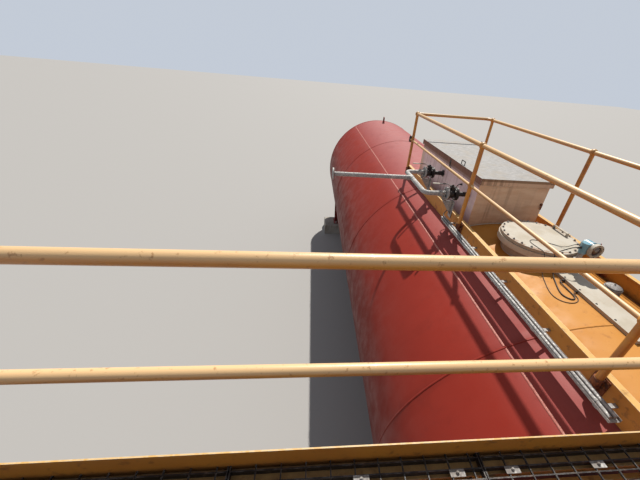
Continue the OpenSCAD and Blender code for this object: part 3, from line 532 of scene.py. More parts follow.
# %% [markdown]
# ## Rust, zinc and iron
#
# The kerb's bolted feet have rusted all over. Zinc on the pipes and conduits shows spangles,
# which are cells of a Voronoi texture, under a dull white bloom. The valves are black iron
# with bare metal on their edges.

# %% Metal finishes
def rusty_steel(tree, place):
    base = layered(
        tree, place, rgb(74, 44, 34),
        (BLOTCHES, (134, 78, 48), dict(Scale=28.0, Level=0.5, Softness=0.12)),
        (BLOTCHES, (178, 112, 56), dict(Scale=60.0, Level=0.62)))
    return {"Base Color": base, "Roughness": 0.8, "Depth": 0.002,
            "Height": noise(tree, place, 190.0, 6.0)}


def galvanised_steel(tree, place, metal=0.4):
    spangle = add(tree, "TexVoronoi", Vector=place, Scale=70.0).outputs["Distance"]
    base = blend(tree, ramp(tree, spangle, 0.1, 0.7), rgb(196, 194, 190), rgb(162, 161, 160))
    base = layered(
        tree, place, base,
        (BLOTCHES, (206, 204, 198), dict(Scale=9.0, Level=0.58), 0.7),
        (BLOTCHES, (120, 104, 92), dict(Scale=33.0, Level=0.68, Softness=0.04), 0.6),
        # dirt and painted shade where parts meet
        (CORNER_DIRT_AND_SHADE, (84, 78, 74), dict(Reach=0.03), 0.6))
    return {"Base Color": base, "Metallic": metal, "Roughness": ramp(tree, spangle, -1.2, 1.2),
            "Height": spangle, "Depth": 0.0006}


def dull_zinc(tree, place):
    looks = galvanised_steel(tree, place, metal=0.15)
    looks["Base Color"] = layered(tree, place, looks["Base Color"],
                                  (BLOTCHES, (112, 104, 98), dict(Scale=12.0, Level=0.45), 0.8))
    return looks


def black_iron(tree, place):
    base = layered(
        tree, place, rgb(32, 29, 30),
        (BLOTCHES, (82, 64, 54), dict(Scale=40.0, Level=0.62)),
        (RUBBED, (140, 136, 130), dict(Reach=0.003, Level=0.45)))
    return {"Base Color": base, "Roughness": 0.45, "Depth": 0.001,
            "Height": noise(tree, place, 260.0, 3.0)}


def cable_rubber(tree, place):
    base = layered(
        tree, place, rgb(24, 22, 23),
        (BLOTCHES, (56, 52, 50), dict(Scale=50.0, Level=0.6)),
        # lighter on upward faces: a painted highlight
        (FACING, (78, 70, 64), dict(Low=0.2, High=1.0), 0.6))
    return {"Base Color": base, "Roughness": 0.6, "Depth": 0.0005,
            "Height": noise(tree, place, 400.0, 3.0)}


add_finish("rust", rusty_steel)
add_finish("zinc", galvanised_steel)
add_finish("dull", dull_zinc)
add_finish("iron", black_iron)
add_finish("rubber", cable_rubber)
print("with metal and rubber:", len(FINISHES))

# %% [markdown]
# ## The valve box and its lid
#
# The box is painted sheet steel. Its near wall is tan with faint brushed patches, a warm tint
# that paints the light bounced up off the yellow deck. The wall over the kerb is a cool mauve
# grey, a tint that paints the sky's light on it, with a tan band at its far end, and under the
# lip it carries a band of dirt and painted shade. The lid is bare sheet that has weathered to a
# mottled white, with fine slanting streaks where water has dried. Its lip is painted, and darker
# along the top, and on the side over the kerb it is painted brown as shade. The lid turns, so
# its top is told from its lip by height in the lid's own coordinates, not by where it faces.

# %% Box finishes
box_low, box_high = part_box("box_inner_wall")
lid_low, lid_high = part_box("box_lid")
TAN_END = 0.12  # width of the tan band at the far end of the inner wall
UNDER_LIP_DIRT_AND_SHADE = 0.0425  # height of the band of dirt and painted shade under the lid's lip
LIP_TOP = 0.034  # height of the darker band along the top of the lip
LIP_SIDE = 0.01  # what is this close to the kerb's side of the lid is painted brown, as shade
SHEET = 0.002  # what is this close to the top of the lid is its bare sheet
LIP_SHADE_BROWN = rgb(142, 104, 92)


def wall_paint(first, second, dirt_and_shade):
    """A painter for sheet walls, from three screen colours: two like tones, and one for their dirt
    and for the shade painted in their corners.
    """
    def paint(tree, place):
        brushed = add(tree, "Mapping", Vector=place, Scale=(1.0, 1.0, 5.0)).outputs[0]
        base = layered(tree, brushed, rgb(*first),
                       (BLOTCHES, second, dict(Scale=3.2, Level=0.5, Softness=0.12)))
        base = layered(
            tree, place, base,
            (RUNS, dirt_and_shade, dict(Scale=18.0, Level=0.55), 0.45),
            (BLOTCHES, dirt_and_shade, dict(Scale=30.0, Level=0.68, Softness=0.04), 0.4),
            # dirt and painted shade in the corners
            (CORNER_DIRT_AND_SHADE, dirt_and_shade, dict(Reach=0.09), 0.7),
            (RUBBED, (214, 202, 184), dict(Reach=0.005, Level=0.5)))
        return {"Base Color": base, "Roughness": 0.52, **skin(tree, place, 200.0, 0.8, 0.0015)}
    return paint


# The mauve grey is a tint that paints the sky's light on this wall.
def mauve_wall_sky_tint(tree, place):
    looks = wall_paint((232, 202, 206), (238, 212, 214), (168, 136, 136))(tree, place)
    axes = add(tree, "SeparateXYZ", place).outputs
    far_end = step_at(tree, axes["Y"], box_high.y - TAN_END, 0.01)
    base = blend(tree, far_end, looks["Base Color"], rgb(214, 190, 170), 0.8)
    # A band under the lip is darker: dirt, and painted shade.
    under_lip = step_at(tree, axes["Z"], lid_low.z - UNDER_LIP_DIRT_AND_SHADE, 0.0075)
    looks["Base Color"] = blend(tree, under_lip, base, LIP_SHADE_BROWN, 0.8)
    return looks


def lid_sheet(tree, place):
    slant = add(tree, "Mapping", Vector=place, Rotation=(0.0, 0.0, 0.6), Scale=(0.5, 3.0, 1.0))
    streaks = noise(tree, slant.outputs[0], 22.0, 8.0, 0.7)
    base = blend(tree, ramp(tree, streaks, 0.38, 0.64), rgb(138, 137, 135), rgb(176, 175, 174))
    base = layered(tree, place, base,
                   (BLOTCHES, (158, 150, 138), dict(Scale=4.0, Level=0.56, Softness=0.12), 0.6))
    axes = add(tree, "SeparateXYZ", place).outputs
    along_top = step_at(tree, axes["Z"], lid_high.z - LIP_TOP, 0.002)
    lip = blend(tree, along_top, rgb(214, 180, 152), rgb(156, 126, 100))
    # The lip's side over the kerb is painted brown, as shade.
    lip = blend(tree, step_at(tree, axes["X"], lid_low.x + LIP_SIDE, -0.002), lip, LIP_SHADE_BROWN)
    lip = layered(tree, place, lip,
                  (RUNS, (112, 86, 70), dict(Scale=30.0, Level=0.5), 0.5))
    base = blend(tree, step_at(tree, axes["Z"], lid_high.z - SHEET, 0.001), lip, base)
    base = layered(tree, place, base,
                   (RUBBED, (214, 210, 200), dict(Reach=0.004, Level=0.42)))
    return {"Base Color": base, "Roughness": 0.7, "Specular IOR Level": 0.2,
            "Height": streaks, "Depth": 0.001}


# The near wall's tan is a warm tint that paints the light bounced off the yellow deck.
add_finish("tan", wall_paint((222, 184, 150), (232, 198, 166), (158, 118, 92)), "tan_wall_bounce_tint")
add_finish("mauve", mauve_wall_sky_tint)
add_finish("lid", lid_sheet)
print("with the box finishes:", len(FINISHES))

# %% [markdown]
# ## Cream, blue and concrete
#
# The manway's cover and the plate by the gauge are cream, with rust that weeps from the bolt
# circle. The gauge head is a chipped pale blue. Concrete is a noise of two sizes with stains
# that run down from the steel.

# %% Cream, blue and concrete finishes
cover_low, cover_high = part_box("manway_cover")
COVER_AT = (cover_low + cover_high) / 2
BOLT_RING = 0.366  # radius of the ring of bolts in the cover


def cream_paint(tree, place):
    axes = add(tree, "SeparateXYZ", place).outputs
    east = sums(tree, "SUBTRACT", axes["X"], COVER_AT.x)
    north = sums(tree, "SUBTRACT", axes["Y"], COVER_AT.y)
    squares = (sums(tree, "MULTIPLY", east, east), sums(tree, "MULTIPLY", north, north))
    away = sums(tree, "SQRT", sums(tree, "ADD", *squares))
    base = layered(tree, place, rgb(188, 182, 169),
                   (BLOTCHES, (176, 167, 150), dict(Scale=5.0, Level=0.55, Softness=0.15)))
    weep = sums(tree, "MULTIPLY", between(tree, away, BOLT_RING - 0.02, BOLT_RING + 0.03, 0.01),
                use(tree, BLOTCHES, Place=place, Scale=24.0, Level=0.53, Softness=0.05))
    base = blend(tree, weep, base, rgb(140, 100, 72), 0.7)
    base = layered(
        tree, place, base,
        (BLOTCHES, (134, 106, 82), dict(Scale=38.0, Level=0.7, Softness=0.03), 0.8),
        # darker on sides and undersides: painted shade
        (FACING, (172, 158, 138), dict(Low=0.7, High=0.1), 0.8),
        (RUBBED, (120, 84, 60), dict(Reach=0.004, Level=0.46)))
    return {"Base Color": base, "Roughness": 0.6, "Specular IOR Level": 0.25,
            **skin(tree, place, 240.0, 0.2, 0.001)}


def gauge_paint(tree, place):
    base = layered(
        tree, place, rgb(108, 156, 176),
        (BLOTCHES, (140, 178, 188), dict(Scale=14.0, Level=0.55)),
        # dirt and painted shade where parts meet
        (CORNER_DIRT_AND_SHADE, (70, 84, 92), dict(Reach=0.02), 0.7),
        (RUBBED, (198, 204, 200), dict(Reach=0.004, Level=0.45)))
    return {"Base Color": base, "Roughness": 0.35, **skin(tree, place, 300.0, 0.1, 0.0008)}


def plinth_concrete(tree, place):
    base = layered(
        tree, place, rgb(150, 145, 136),
        (BLOTCHES, (168, 164, 156), dict(Scale=2.4, Level=0.5, Softness=0.2)),
        (BLOTCHES, (110, 104, 96), dict(Scale=70.0, Level=0.66)),
        (RUNS, (106, 84, 70), dict(Scale=14.0, Level=0.52), 0.6))
    return {"Base Color": base, "Roughness": 0.9, "Depth": 0.004,
            "Height": noise(tree, place, 90.0, 8.0, 0.7)}


add_finish("cream", cream_paint)
add_finish("neck", wall_paint((190, 178, 160), (200, 190, 174), (132, 106, 86)), "neck_paint")
add_finish("blue", gauge_paint)
add_finish("concrete", plinth_concrete)
print("finishes:", sorted(FINISHES))

# %% [markdown]
# ## Which finish goes on which piece
#
# Each solid of the frame is matched by the start of its name. The longest start that fits
# wins, so one line can cover a family of pieces and a longer one can single one out.

# %% Dress the solids
COATS = {
    "red": ("course", "head_", "saddle", "lifting", "landing_stools"),
    "rail": ("top_rail", "mid_rail", "landing_rails"), "post": ("posts",),
    "kerb": ("kerb", "toe", "landing"), "rust": ("feet", "hinge", "lid_hinges"),
    "tan": ("box_",), "mauve": ("box_inner",), "lid": ("box_lid",), "neck": ("manway_neck",),
    "iron": ("box_nozzles", "lid_handle", "valve", "grating"), "blue": ("gauge_head",),
    "cream": ("manway_cover", "manway_handle", "gauge_window", "gauge_cover"),
    "zinc": ("gauge_neck", "pipe_supports", "header", "cable_tray", "conduits"),
    "rubber": ("gauge_cable", "gauge_lead", "valve_cable", "cable_glands"),
    "dull": ("vent_cap",), "concrete": ("plinth",),
}
STARTS = {start: finish for finish, starts in COATS.items() for start in starts}


def coat_of(node):
    longest = max((start for start in STARTS if node.startswith(start)), key=len)
    return FINISHES[STARTS[longest]]


for node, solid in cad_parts.items():
    solid.data.materials.clear()
    solid.data.materials.append(coat_of(node))
for cord in CORDS:
    cord.data.materials.append(FINISHES["rubber"])
print("dressed:", len(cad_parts), "solids and", len(CORDS), "cables")

# %% [markdown]
# ## Tools for small pieces
#
# Bolts, beads and bands are all made from two shapes: a profile turned about an axis, and a
# cross-section carried along a path. We write each once, on bmesh, so that a hexagon bolt is
# a few turned profiles with six or more sides, and a weld is a low arch swept along its seam.
# A last tool turns the finished shape into a piece that rides on its body.

# %% Turning and sweeping
ACROSS, ALONG, UP = Vector((1, 0, 0)), Vector((0, 1, 0)), Vector((0, 0, 1))


def around(count, first=0.0):
    """Cosine and sine of angles spaced evenly around a circle, from a first one in degrees."""
    turns = (radians(first) + 2 * pi * k / count for k in range(count))
    return [(cos(turn), sin(turn)) for turn in turns]


def half_ring(middle, height, radius, steps):
    """Points of a half circle that stands on its ends, from the lower side of middle over it."""
    return [(middle - radius * cos(pi * k / steps),
             height + radius * sin(pi * k / steps)) for k in range(steps + 1)]


def join_rings(shape, rings, closed=False):
    """Puts faces between rings of corners, and caps on both ends unless they close."""
    for first, second in zip(rings, rings[1:] + rings[:1] if closed else rings[1:]):
        for i in range(len(first)):
            shape.faces.new((first[i - 1], first[i], second[i], second[i - 1]))
    if not closed:
        shape.faces.new(rings[0][::-1])
        shape.faces.new(rings[-1])


def turned(shape, profile, place, toward=UP, sides=24, squash=1.0):
    """Turns (radius, height) pairs about an axis through place. squash flattens one way."""
    facing = toward.to_track_quat("Z", "Y").to_matrix()
    rings = []
    for radius, height in profile:
        corners = (Vector((radius * c, radius * s * squash, height)) for c, s in around(sides))
        rings.append([shape.verts.new(Vector(place) + facing @ corner) for corner in corners])
    join_rings(shape, rings)


def swept(shape, path, ups, section, closed=False):
    """Carries (aside, up) pairs along a path, with one way up or one for each of its points."""
    if isinstance(ups, Vector):
        ups = [ups] * len(path)
    rings = []
    for i, (place, up) in enumerate(zip(path, ups)):
        ahead = path[(i + 1) % len(path)] if closed else path[min(i + 1, len(path) - 1)]
        behind = path[i - 1] if closed else path[max(i - 1, 0)]
        aside = (ahead - behind).normalized().cross(up).normalized()
        rings.append([shape.verts.new(place + aside * a + up * b) for a, b in section])
    join_rings(shape, rings, closed)


print("shapes come from:", turned.__name__, "and", swept.__name__)


# %% Sections, profiles and pieces
def round_bar(radius, sides):
    """Section of a rod."""
    return [(radius * c, radius * s) for c, s in around(sides)]


def flat_bar(half, top, sink=0.0, bevel=0.0):
    """Section of a strip that lies on a surface, sunk into it by a little."""
    return [(-half, -sink), (bevel - half, top), (half - bevel, top), (half, -sink)]


def button(radius, rim, top, tip, sink=0.001):
    """Profile of a small head: upright to the rim's height, then narrower up to the top."""
    return [(radius, -sink), (radius, rim), (tip, top)]


def place_piece(name, shape, finish, body="tank", sharp=35):
    """Turns a finished shape into a piece with smooth sides and sharp edges."""
    bmesh.ops.recalc_face_normals(shape, faces=shape.faces)
    mesh = bpy.data.meshes.new(name)
    shape.to_mesh(mesh)
    shape.free()
    mesh.polygons.foreach_set("use_smooth", [True] * len(mesh.polygons))
    mesh.set_sharp_from_angle(angle=radians(sharp))
    mesh.materials.append(FINISHES[finish])
    made = new_object(name, mesh)
    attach(made, body)
    print(name, "has", len(mesh.polygons), "faces")


print("sections and profiles:", [tool.__name__ for tool in (round_bar, flat_bar, button)])

# %% [markdown]
# ## Weld seams
#
# The shell is four rolled courses. Each is closed by lengthwise seams, 31 degrees either side
# of the crown, and ring seams join it to its neighbours and to the heads. A bead stands only
# 5 mm proud, but it catches the sun and is what tells the eye how big the tank is. Its line
# wanders a little, from a seeded draw, because a hand laid it.

# %% Weld beads
course_low, course_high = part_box("course_1")
SHELL_R = (course_high.x - course_low.x) / 2
AXIS_Z = course_low.z + SHELL_R
CROWN_Z = AXIS_Z + SHELL_R
SEAM_ANGLE = radians(31)
BEADS = {  # width and height of each kind of bead
    "ring": (0.022, 0.005), "lengthwise": (0.020, 0.0045), "neck": (0.016, 0.007),
    "lug": (0.014, 0.006), "saddle": (0.018, 0.008), "sealant": (0.018, 0.007),
}
DRAW = random.Random(7)


def on_shell(angle, y):
    """A point of the shell, at an angle from the crown towards +X, and the way out of it there."""
    out = Vector((sin(angle), 0, cos(angle)))
    return Vector((0, y, AXIS_Z)) + out * SHELL_R, out


def arch(width, height):
    """A bead's section: a low arch whose foot is sunk into the plate."""
    half = width / 2
    return [(-half, -0.002), (-half, 0.0006), (-0.6 * half, 0.75 * height), (0, height),
            (0.6 * half, 0.75 * height), (half, 0.0006), (half, -0.002)]


def wander(place, amount=0.0008):
    return place + Vector((DRAW.uniform(-amount, amount), DRAW.uniform(-amount, amount), 0))


def add_bead(shape, points, kind, closed=False):
    """Lays a bead over (place, up) pairs."""
    path = [wander(place) for place, _ in points]
    swept(shape, path, [up for _, up in points], arch(*BEADS[kind]), closed)


rings = bmesh.new()
for seam in SEAM_Y:
    turn = [on_shell(radians(k), seam) for k in range(360)]
    add_bead(rings, turn, "ring", closed=True)
place_piece("ring_welds", rings, "red", sharp=80)

lengthwise = bmesh.new()
for first, last in zip(SEAM_Y, SEAM_Y[1:]):
    stagger = DRAW.uniform(-0.004, 0.004)
    for side in (-1, 1):
        steps = [first + 0.012 + (last - first - 0.024) * k / 60 for k in range(61)]
        run = [on_shell(side * (SEAM_ANGLE + stagger), y) for y in steps]
        add_bead(lengthwise, run, "lengthwise")
place_piece("lengthwise_welds", lengthwise, "seam", sharp=80)


# %% Fillet welds where pieces meet the shell
def crown_at(x):
    """Height of the shell's top at x."""
    return AXIS_Z + sqrt(SHELL_R ** 2 - x ** 2)


NECK_R = 0.32  # of the neck's tube, below its flange
LUG_Y = (6.3, -6.3)
LUG_STEPS = (-0.118, -0.06, 0, 0.06, 0.118)

fillets = bmesh.new()
neck_foot = []
for c, s in around(96):
    x, y = NECK_R * c, COVER_AT.y + NECK_R * s
    up = (Vector((x / SHELL_R, 0, 1)) + Vector((c, s, 0)) * 0.8).normalized()
    neck_foot.append((Vector((x, y, crown_at(x))), up))
add_bead(fillets, neck_foot, "neck", closed=True)
lug_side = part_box("lifting_lugs")[1].x
for y in LUG_Y:
    for side in (-1, 1):
        slope = Vector((side * 0.7, 0, 0.7))
        foot = [(Vector((side * lug_side, y + step, CROWN_Z)), slope) for step in LUG_STEPS]
        add_bead(fillets, foot, "lug")
place_piece("fillet_welds", fillets, "neck", sharp=80)

saddle_seams = bmesh.new()
for node in ("saddle_near", "saddle_far"):
    low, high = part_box(node)
    reach = asin(min(high.x / SHELL_R, 1.0)) - 0.012
    for y in (low.y - 0.001, high.y + 0.001):
        turns = [pi - reach + 2 * reach * k / 90 for k in range(91)]
        add_bead(saddle_seams, [on_shell(turn, y) for turn in turns], "saddle")
place_piece("saddle_welds", saddle_seams, "red", sharp=80)

# %% [markdown]
# ## Bolts
#
# A bolt is a washer, a chamfered hexagon and the rounded end of its stud, all sized from the
# thread, as in the tables of a fitter's handbook: 1.5 threads across the flats, 0.8 high. The
# cover's ring has places for 24. Where a cable lies over the ring, we leave the place free.

# %% Bolts of every size
COVER_BOLTS = 24
CABLE_GAP = 0.034  # a bolt keeps this far from the middle of a cable
ANCHOR_X = (-1.46, 1.46)
ANCHOR_Y = (-6.08, -5.78, 5.78, 6.08)
FOOT_THICK = 0.02  # plate of the saddles' feet


def add_bolt(shape, place, toward, thread, stud=0.3):
    """Washer, hexagon and stud end on a surface, sized from the thread in metres."""
    corner = 1.5 * thread / sqrt(3)
    turned(shape, button(1.05 * thread, 0.13 * thread, 0.18 * thread, 1.0 * thread),
           place, toward, 20)
    turned(shape, [(corner, 0.1 * thread), (corner, 0.85 * thread), (0.88 * corner, 0.98 * thread)],
           place, toward, 6)
    turned(shape, [(0.48 * thread, 0.9 * thread), (0.48 * thread, (0.95 + stud) * thread),
                   (0.36 * thread, (1.05 + stud) * thread)], place, toward, 12)


cover_bolts = bmesh.new()
ring = [Vector((COVER_AT.x + BOLT_RING * c, COVER_AT.y + BOLT_RING * s, cover_high.z))
        for c, s in around(COVER_BOLTS)]
cables = [point for route in (GAUGE_CABLE, GAUGE_LEAD) for point in smooth_line(route)]
used = [at for at in ring if min((at - point).length for point in cables) > CABLE_GAP]
for at in used:
    add_bolt(cover_bolts, at, UP, 0.012)
place_piece("cover_bolts", cover_bolts, "dull")
print("bolts in the ring:", len(used), "of", COVER_BOLTS)

anchors = bmesh.new()
foot_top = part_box("plinth_near")[1].z + FOOT_THICK
for y in ANCHOR_Y:
    for x in ANCHOR_X:
        add_bolt(anchors, (x, y, foot_top), UP, 0.030, stud=0.9)
place_piece("anchor_nuts", anchors, "zinc")

# %% Bolts of the pipes, and what holds the pipes and conduits
nozzle_low, nozzle_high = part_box("box_nozzles")
PIPE_Z = (nozzle_low.z + nozzle_high.z) / 2
BRANCH_Y = (-1.376, -0.476)
PIPE_R = 0.03015
FLANGE_RING = 0.0625
FLANGE_SIDES = ((-0.622, 1), (-0.658, -1), (-0.732, 1), (-0.768, -1))  # x, and way they face
HOOP_X = -0.793
HOOP_R = PIPE_R + 0.0042
LEG_Z = (4.298, 4.32, 4.34)
HOOP_NUT_Z = 4.3115

flange_bolts = bmesh.new()
for y in BRANCH_Y:
    for x, way in FLANGE_SIDES:
        for c, s in around(4, 45):
            at = (x, y + FLANGE_RING * c, PIPE_Z + FLANGE_RING * s)
            add_bolt(flange_bolts, at, way * ACROSS, 0.012, stud=0.25 if way < 0 else 0.0)
place_piece("flange_bolts", flange_bolts, "zinc")

hoops = bmesh.new()
for y in BRANCH_Y:
    near_leg = [(y - HOOP_R, z) for z in LEG_Z]
    far_leg = [(y + HOOP_R, z) for z in reversed(LEG_Z)]
    bow = half_ring(y, PIPE_Z, HOOP_R, 16)
    line = [Vector((HOOP_X, a, b)) for a, b in near_leg + bow + far_leg]
    swept(hoops, line, ACROSS, round_bar(0.004, 10))
    for side in (-1, 1):
        at = (HOOP_X, y + side * HOOP_R, HOOP_NUT_Z)
        turned(hoops, button(0.0075, 0.006, 0.007, 0.0066, sink=0), at, -UP, 6)
place_piece("pipe_hoops", hoops, "zinc")

conduit_low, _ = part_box("conduits")
CONDUIT_R = 0.0125
CONDUIT_Z = conduit_low.z + CONDUIT_R
CONDUIT_X = (-0.76415, -0.72815)
STRAP_Y = (-1.62, -2.25, -2.9, -3.5, -4.02)
STRAP = [(0, -0.011), (0.0016, -0.011), (0.0016, 0.011), (0, 0.011)]
STRAP_GAP = 0.0005
STRAP_FOOT = 0.018

straps = bmesh.new()
for y in STRAP_Y:
    foot_z = conduit_low.z + STRAP_GAP
    over = [(CONDUIT_X[0] - STRAP_FOOT, foot_z)]
    for x in CONDUIT_X:
        over += half_ring(x, CONDUIT_Z, CONDUIT_R + STRAP_GAP, 12)
    over.append((CONDUIT_X[1] + STRAP_FOOT, foot_z))
    swept(straps, [Vector((a, y, b)) for a, b in over], ALONG, STRAP)
place_piece("conduit_straps", straps, "zinc")

# %% [markdown]
# ## The valve box's fittings
#
# The inner wall is folded from sheet, and its upright folds show as thin dark lines. A pale
# strip of sealant closes the gap where the walls stand on the shell. On the lid's lip hangs a
# hasp, which rides with the lid, and its eye stays on the wall below it. White sleeves on the
# ends of the valve levers are the brightest points of that corner.

# %% Folds and sealant
FOLD_Y = (0.13, -0.52, -1.12)
wall_low, wall_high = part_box("box_near_wall")

folds = bmesh.new()
for y in FOLD_Y:
    heights = np.linspace(crown_at(box_low.x) + 0.004, lid_low.z - 0.004, 12)
    path = [Vector((box_low.x, y, z)) for z in heights]
    swept(folds, path, -ACROSS, flat_bar(0.004, 0.0035, sink=0.001, bevel=0.001))
place_piece("wall_folds", folds, "mauve")

sealant = bmesh.new()
near_strip = [(Vector((x, wall_low.y, crown_at(x))), Vector((0, -0.7, 0.7)))
              for x in np.linspace(wall_low.x, wall_high.x, 40)]
add_bead(sealant, near_strip, "sealant")
for x, way in ((wall_low.x, -1), (wall_high.x, 1)):
    side_strip = [(Vector((x, y, crown_at(x))), Vector((0.7 * way, 0, 0.7)))
                  for y in np.linspace(wall_low.y, box_high.y, 60)]
    add_bead(sealant, side_strip, "sealant")
place_piece("box_sealant", sealant, "cream", sharp=80)

# %% Hasp, latch and grips
HASP_Y = -0.67
HASP_Z = (4.612, 4.585, 4.555, 4.525, 4.516)  # heights along the hasp, from the lid down
KNUCKLE_Z = 4.558
RIVET_Z = (4.572, 4.6)
EYE_Z = 4.492
LATCH_X = 0.436
LATCH_Z = 4.33
GRIP = [(0.009, -0.007), (0.014, -0.003), (0.0155, 0.006), (0.015, 0.05), (0.0155, 0.078),
        (0.013, 0.086)]

hasp = bmesh.new()
down = [Vector((lid_low.x, HASP_Y, z)) for z in HASP_Z]
swept(hasp, down, -ACROSS, flat_bar(0.019, 0.003, sink=0.0005))
turned(hasp, [(0.005, -0.022), (0.005, 0.022)], (lid_low.x - 0.004, HASP_Y, KNUCKLE_Z), ALONG, 12)
for z in RIVET_Z:
    rivet = button(0.005, 0.002, 0.0035, 0.003, sink=0)
    turned(hasp, rivet, (lid_low.x - 0.003, HASP_Y, z), -ACROSS, 12)
place_piece("lid_hasp", hasp, "iron", body="lid")

catches = bmesh.new()
eye = [Vector((box_low.x - 0.011 + 0.011 * c, HASP_Y, EYE_Z + 0.013 * s)) for c, s in around(20)]
swept(catches, eye, ALONG, round_bar(0.0028, 8), closed=True)
turned(catches, button(0.02, 0.0025, 0.003, 0.018), (box_low.x, HASP_Y, EYE_Z), -ACROSS, 4)
turned(catches, [(0.016, -0.001), (0.016, 0.004), (0.009, 0.008), (0.009, 0.02)],
       (LATCH_X, wall_low.y, LATCH_Z), -ALONG, 20)
latch_top = Vector((LATCH_X, wall_low.y - 0.02, LATCH_Z + 0.015))
handle = [latch_top - UP * 0.0125 * k for k in range(7)]
swept(catches, handle, -ALONG, flat_bar(0.009, 0.005, sink=0.004, bevel=0.002))
place_piece("wall_catches", catches, "rust")

lever_low, lever_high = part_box("valve_levers")
grips = bmesh.new()
for y in BRANCH_Y:
    turned(grips, GRIP, (lever_low.x, y, lever_high.z - 0.003), ACROSS, 24, squash=0.5)
place_piece("lever_grips", grips, "cream", sharp=60)

# %% [markdown]
# ## Knobs on the ends of the middle rails
#
# Past the last post, each middle rail ends in a dark plug, taller than it is wide.

# %% Rail plugs
PLUG = [(0.018, 0), (0.030, 0.008), (0.034, 0.028), (0.034, 0.082), (0.028, 0.108), (0.014, 0.114)]

plugs = bmesh.new()
for node in ("mid_rail_inner", "mid_rail_outer"):
    low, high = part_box(node)
    turned(plugs, PLUG, ((low.x + high.x) / 2, high.y - 0.006, (low.z + high.z) / 2 - 0.05))
place_piece("rail_plugs", plugs, "iron", sharp=60)

# %% [markdown]
# ## The level gauge
#
# The head looks back along the walkway. Inside its pale ring sits a dark dial under glass, with
# plain marks and one hand. Small screws hold the ring, the foot and the cover plate.

# %% Dial under glass
window_low, window_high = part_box("gauge_window")
DIAL_Y = -2.719  # the dial lies a little behind the front of its ring
DIAL_AT = Vector(((window_low.x + window_high.x) / 2, DIAL_Y, (window_low.z + window_high.z) / 2))


def glossy(name, colour, rough, coat):
    """A finish in one colour, a little darker in specks, with a clear coat of some weight."""
    def paint(tree, place):
        darker = [0.8 * c for c in colour]
        base = layered(tree, place, rgb(*colour),
                       (BLOTCHES, darker, dict(Scale=120.0, Level=0.6, Softness=0.2)))
        return {"Base Color": base, "Roughness": rough, "Coat Weight": coat}
    add_finish(name, paint, name)


glossy("dial_brown", (70, 44, 34), 0.35, 1.0)
glossy("cap_red", (186, 44, 34), 0.4, 0.3)
glossy("mark_white", (196, 188, 172), 0.5, 0.0)

dial = bmesh.new()
turned(dial, [(0.0495, -0.002), (0.0495, 0.004), (0.046, 0.0062), (0.02, 0.0078)],
       DIAL_AT, -ALONG, 64)
place_piece("dial_glass", dial, "dial_brown", sharp=50)
marks = bmesh.new()
for c, s in around(15, -30)[:11]:
    at = DIAL_AT + Vector((0.042 * c, -0.0068, 0.042 * s))
    turned(marks, [(0.0016, -0.001), (0.0016, 0.0012)], at, -ALONG, 8)
hand = [DIAL_AT + Vector((0.034 * t, -0.0079, 0.026 * t)) for t in (-0.2, 0.2, 0.6, 1.0)]
swept(marks, hand, -ALONG, flat_bar(0.0014, 0.0006, sink=0.0005))
place_piece("dial_marks", marks, "mark_white")

# %% Small screws, caps and the vent's ribs
plate_low, plate_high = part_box("gauge_cover")
stem_low, stem_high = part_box("gauge_neck")
STEM_AT = (stem_low + stem_high) / 2
STEM_FOOT_Z = 4.09
RING_SCREWS_R = 0.061
STEM_BOLTS_R = 0.046
PLUG_Z = 4.175  # height of the red cap on the stem
PORT_AT = (0.321, -2.64, 4.36)

screws = bmesh.new()
for y in np.linspace(plate_low.y + 0.03, plate_high.y - 0.03, 6):
    for x in (plate_low.x + 0.022, plate_high.x - 0.022):
        head = button(0.009, 0.002, 0.0045, 0.006, sink=0.0005)
        turned(screws, head, (x, y, plate_high.z), UP, 16)
for c, s in around(6, 30):
    at = (DIAL_AT.x + RING_SCREWS_R * c, window_low.y, DIAL_AT.z + RING_SCREWS_R * s)
    turned(screws, button(0.0045, 0.002, 0.0032, 0.003, sink=0.0005), at, -ALONG, 12)
for c, s in around(4, 45):
    at = (STEM_AT.x + STEM_BOLTS_R * c, STEM_AT.y + STEM_BOLTS_R * s, STEM_FOOT_Z)
    add_bolt(screws, at, UP, 0.009)
place_piece("gauge_screws", screws, "iron")

caps = bmesh.new()
turned(caps, button(0.0095, 0.008, 0.011, 0.006), (stem_low.x, STEM_AT.y, PLUG_Z), -ACROSS, 20)
turned(caps, button(0.009, 0.006, 0.009, 0.006), PORT_AT, ACROSS, 20)
place_piece("red_caps", caps, "cap_red")

vent_low, vent_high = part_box("vent_cap")
VENT_AT = (vent_low + vent_high) / 2
VENT_R = 0.0745
vent_parts = bmesh.new()
for c, s in around(20):
    out = Vector((c, s, 0))
    foot = Vector((VENT_AT.x, VENT_AT.y, CROWN_Z)) + out * VENT_R
    rib = [foot + UP * height for height in (0.006, 0.022)]
    swept(vent_parts, rib, out, flat_bar(0.004, 0.003, bevel=0.001))
add_bolt(vent_parts, (VENT_AT.x, VENT_AT.y, vent_high.z - 0.0015), UP, 0.010)
place_piece("vent_ribs", vent_parts, "dull")

# %% [markdown]
# ## The landing's clips
#
# Bar grating is held down by saddle clips with one bolt each, near the corners of every panel.

# %% Grating clips
CLIP_STEPS = (-0.032, -0.01, 0.01, 0.032)

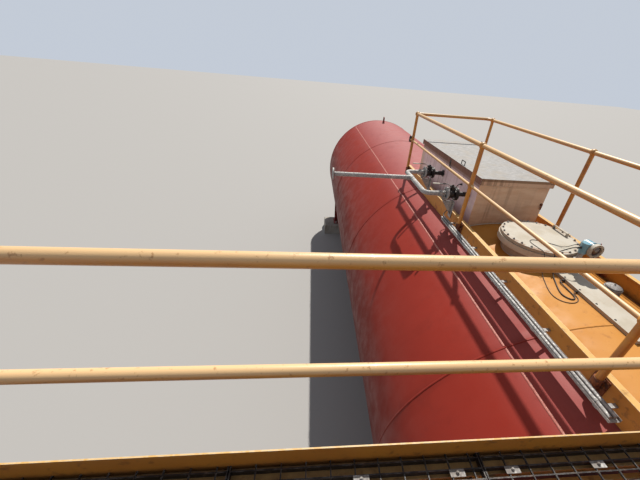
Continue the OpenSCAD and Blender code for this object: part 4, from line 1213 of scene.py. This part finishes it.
clips = bmesh.new()
for node in ("grating_1", "grating_2", "grating_3"):
    low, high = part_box(node)
    for x in (low.x + 0.12, (low.x + high.x) / 2, high.x - 0.12):
        for y in (low.y + 0.075, high.y - 0.075):
            line = [Vector((x + step, y, high.z + 0.001)) for step in CLIP_STEPS]
            swept(clips, line, UP, flat_bar(0.014, 0.003))
            add_bolt(clips, (x, y, high.z + 0.004), UP, 0.008)
place_piece("grating_clips", clips, "dull")

# %% [markdown]
# ## Floor and light
#
# A plain pale floor lets the paint speak. One sun stands high, beyond the tank and to its
# outer side, as in the photograph, so the rails throw narrow shadows on the shell towards the
# camera. The sky is dim where it lights the tank, so that shaded faces stay dark, and pale
# where the camera looks straight at it.

# %% Stage and light
FLOOR_HALF = 120.0
FLOOR_GREY = (0.36, 0.355, 0.345, 1)


def make_floor():
    mesh = bpy.data.meshes.new("floor")
    corners = [(x * FLOOR_HALF, y * FLOOR_HALF, 0) for x, y in ((-1, -1), (1, -1), (1, 1), (-1, 1))]
    mesh.from_pydata(corners, [], [(0, 1, 2, 3)])
    material = bpy.data.materials.new("floor")
    material.use_nodes = True
    shader = material.node_tree.nodes["Principled BSDF"]
    shader.inputs["Base Color"].default_value = FLOOR_GREY
    shader.inputs["Roughness"].default_value = 0.9
    mesh.materials.append(material)
    new_object("floor", mesh)


def make_sun(name, energy, degrees_wide, colour, towards):
    data = bpy.data.lights.new(name, "SUN")
    data.energy = energy
    data.angle = radians(degrees_wide)
    data.color = colour
    sun = new_object(name, data)
    sun.rotation_euler = Vector(towards).to_track_quat("Z", "Y").to_euler()


def make_sky(fill, backdrop):
    world = bpy.data.worlds.new("pale_sky")
    world.use_nodes = True
    tree = world.node_tree
    seen = add(tree, "LightPath").outputs["Is Camera Ray"]
    tree.links.new(blend(tree, seen, fill, backdrop), tree.nodes["Background"].inputs[0])
    bpy.context.scene.world = world


make_floor()
make_sun("high_sun", energy=5.0, degrees_wide=0.8, colour=(1.0, 0.95, 0.88),
         towards=(0.27, 0.75, 1.0))
make_sky(fill=(0.33, 0.345, 0.38, 1), backdrop=(0.55, 0.60, 0.68, 1))
bpy.context.scene.view_settings.view_transform = "Standard"
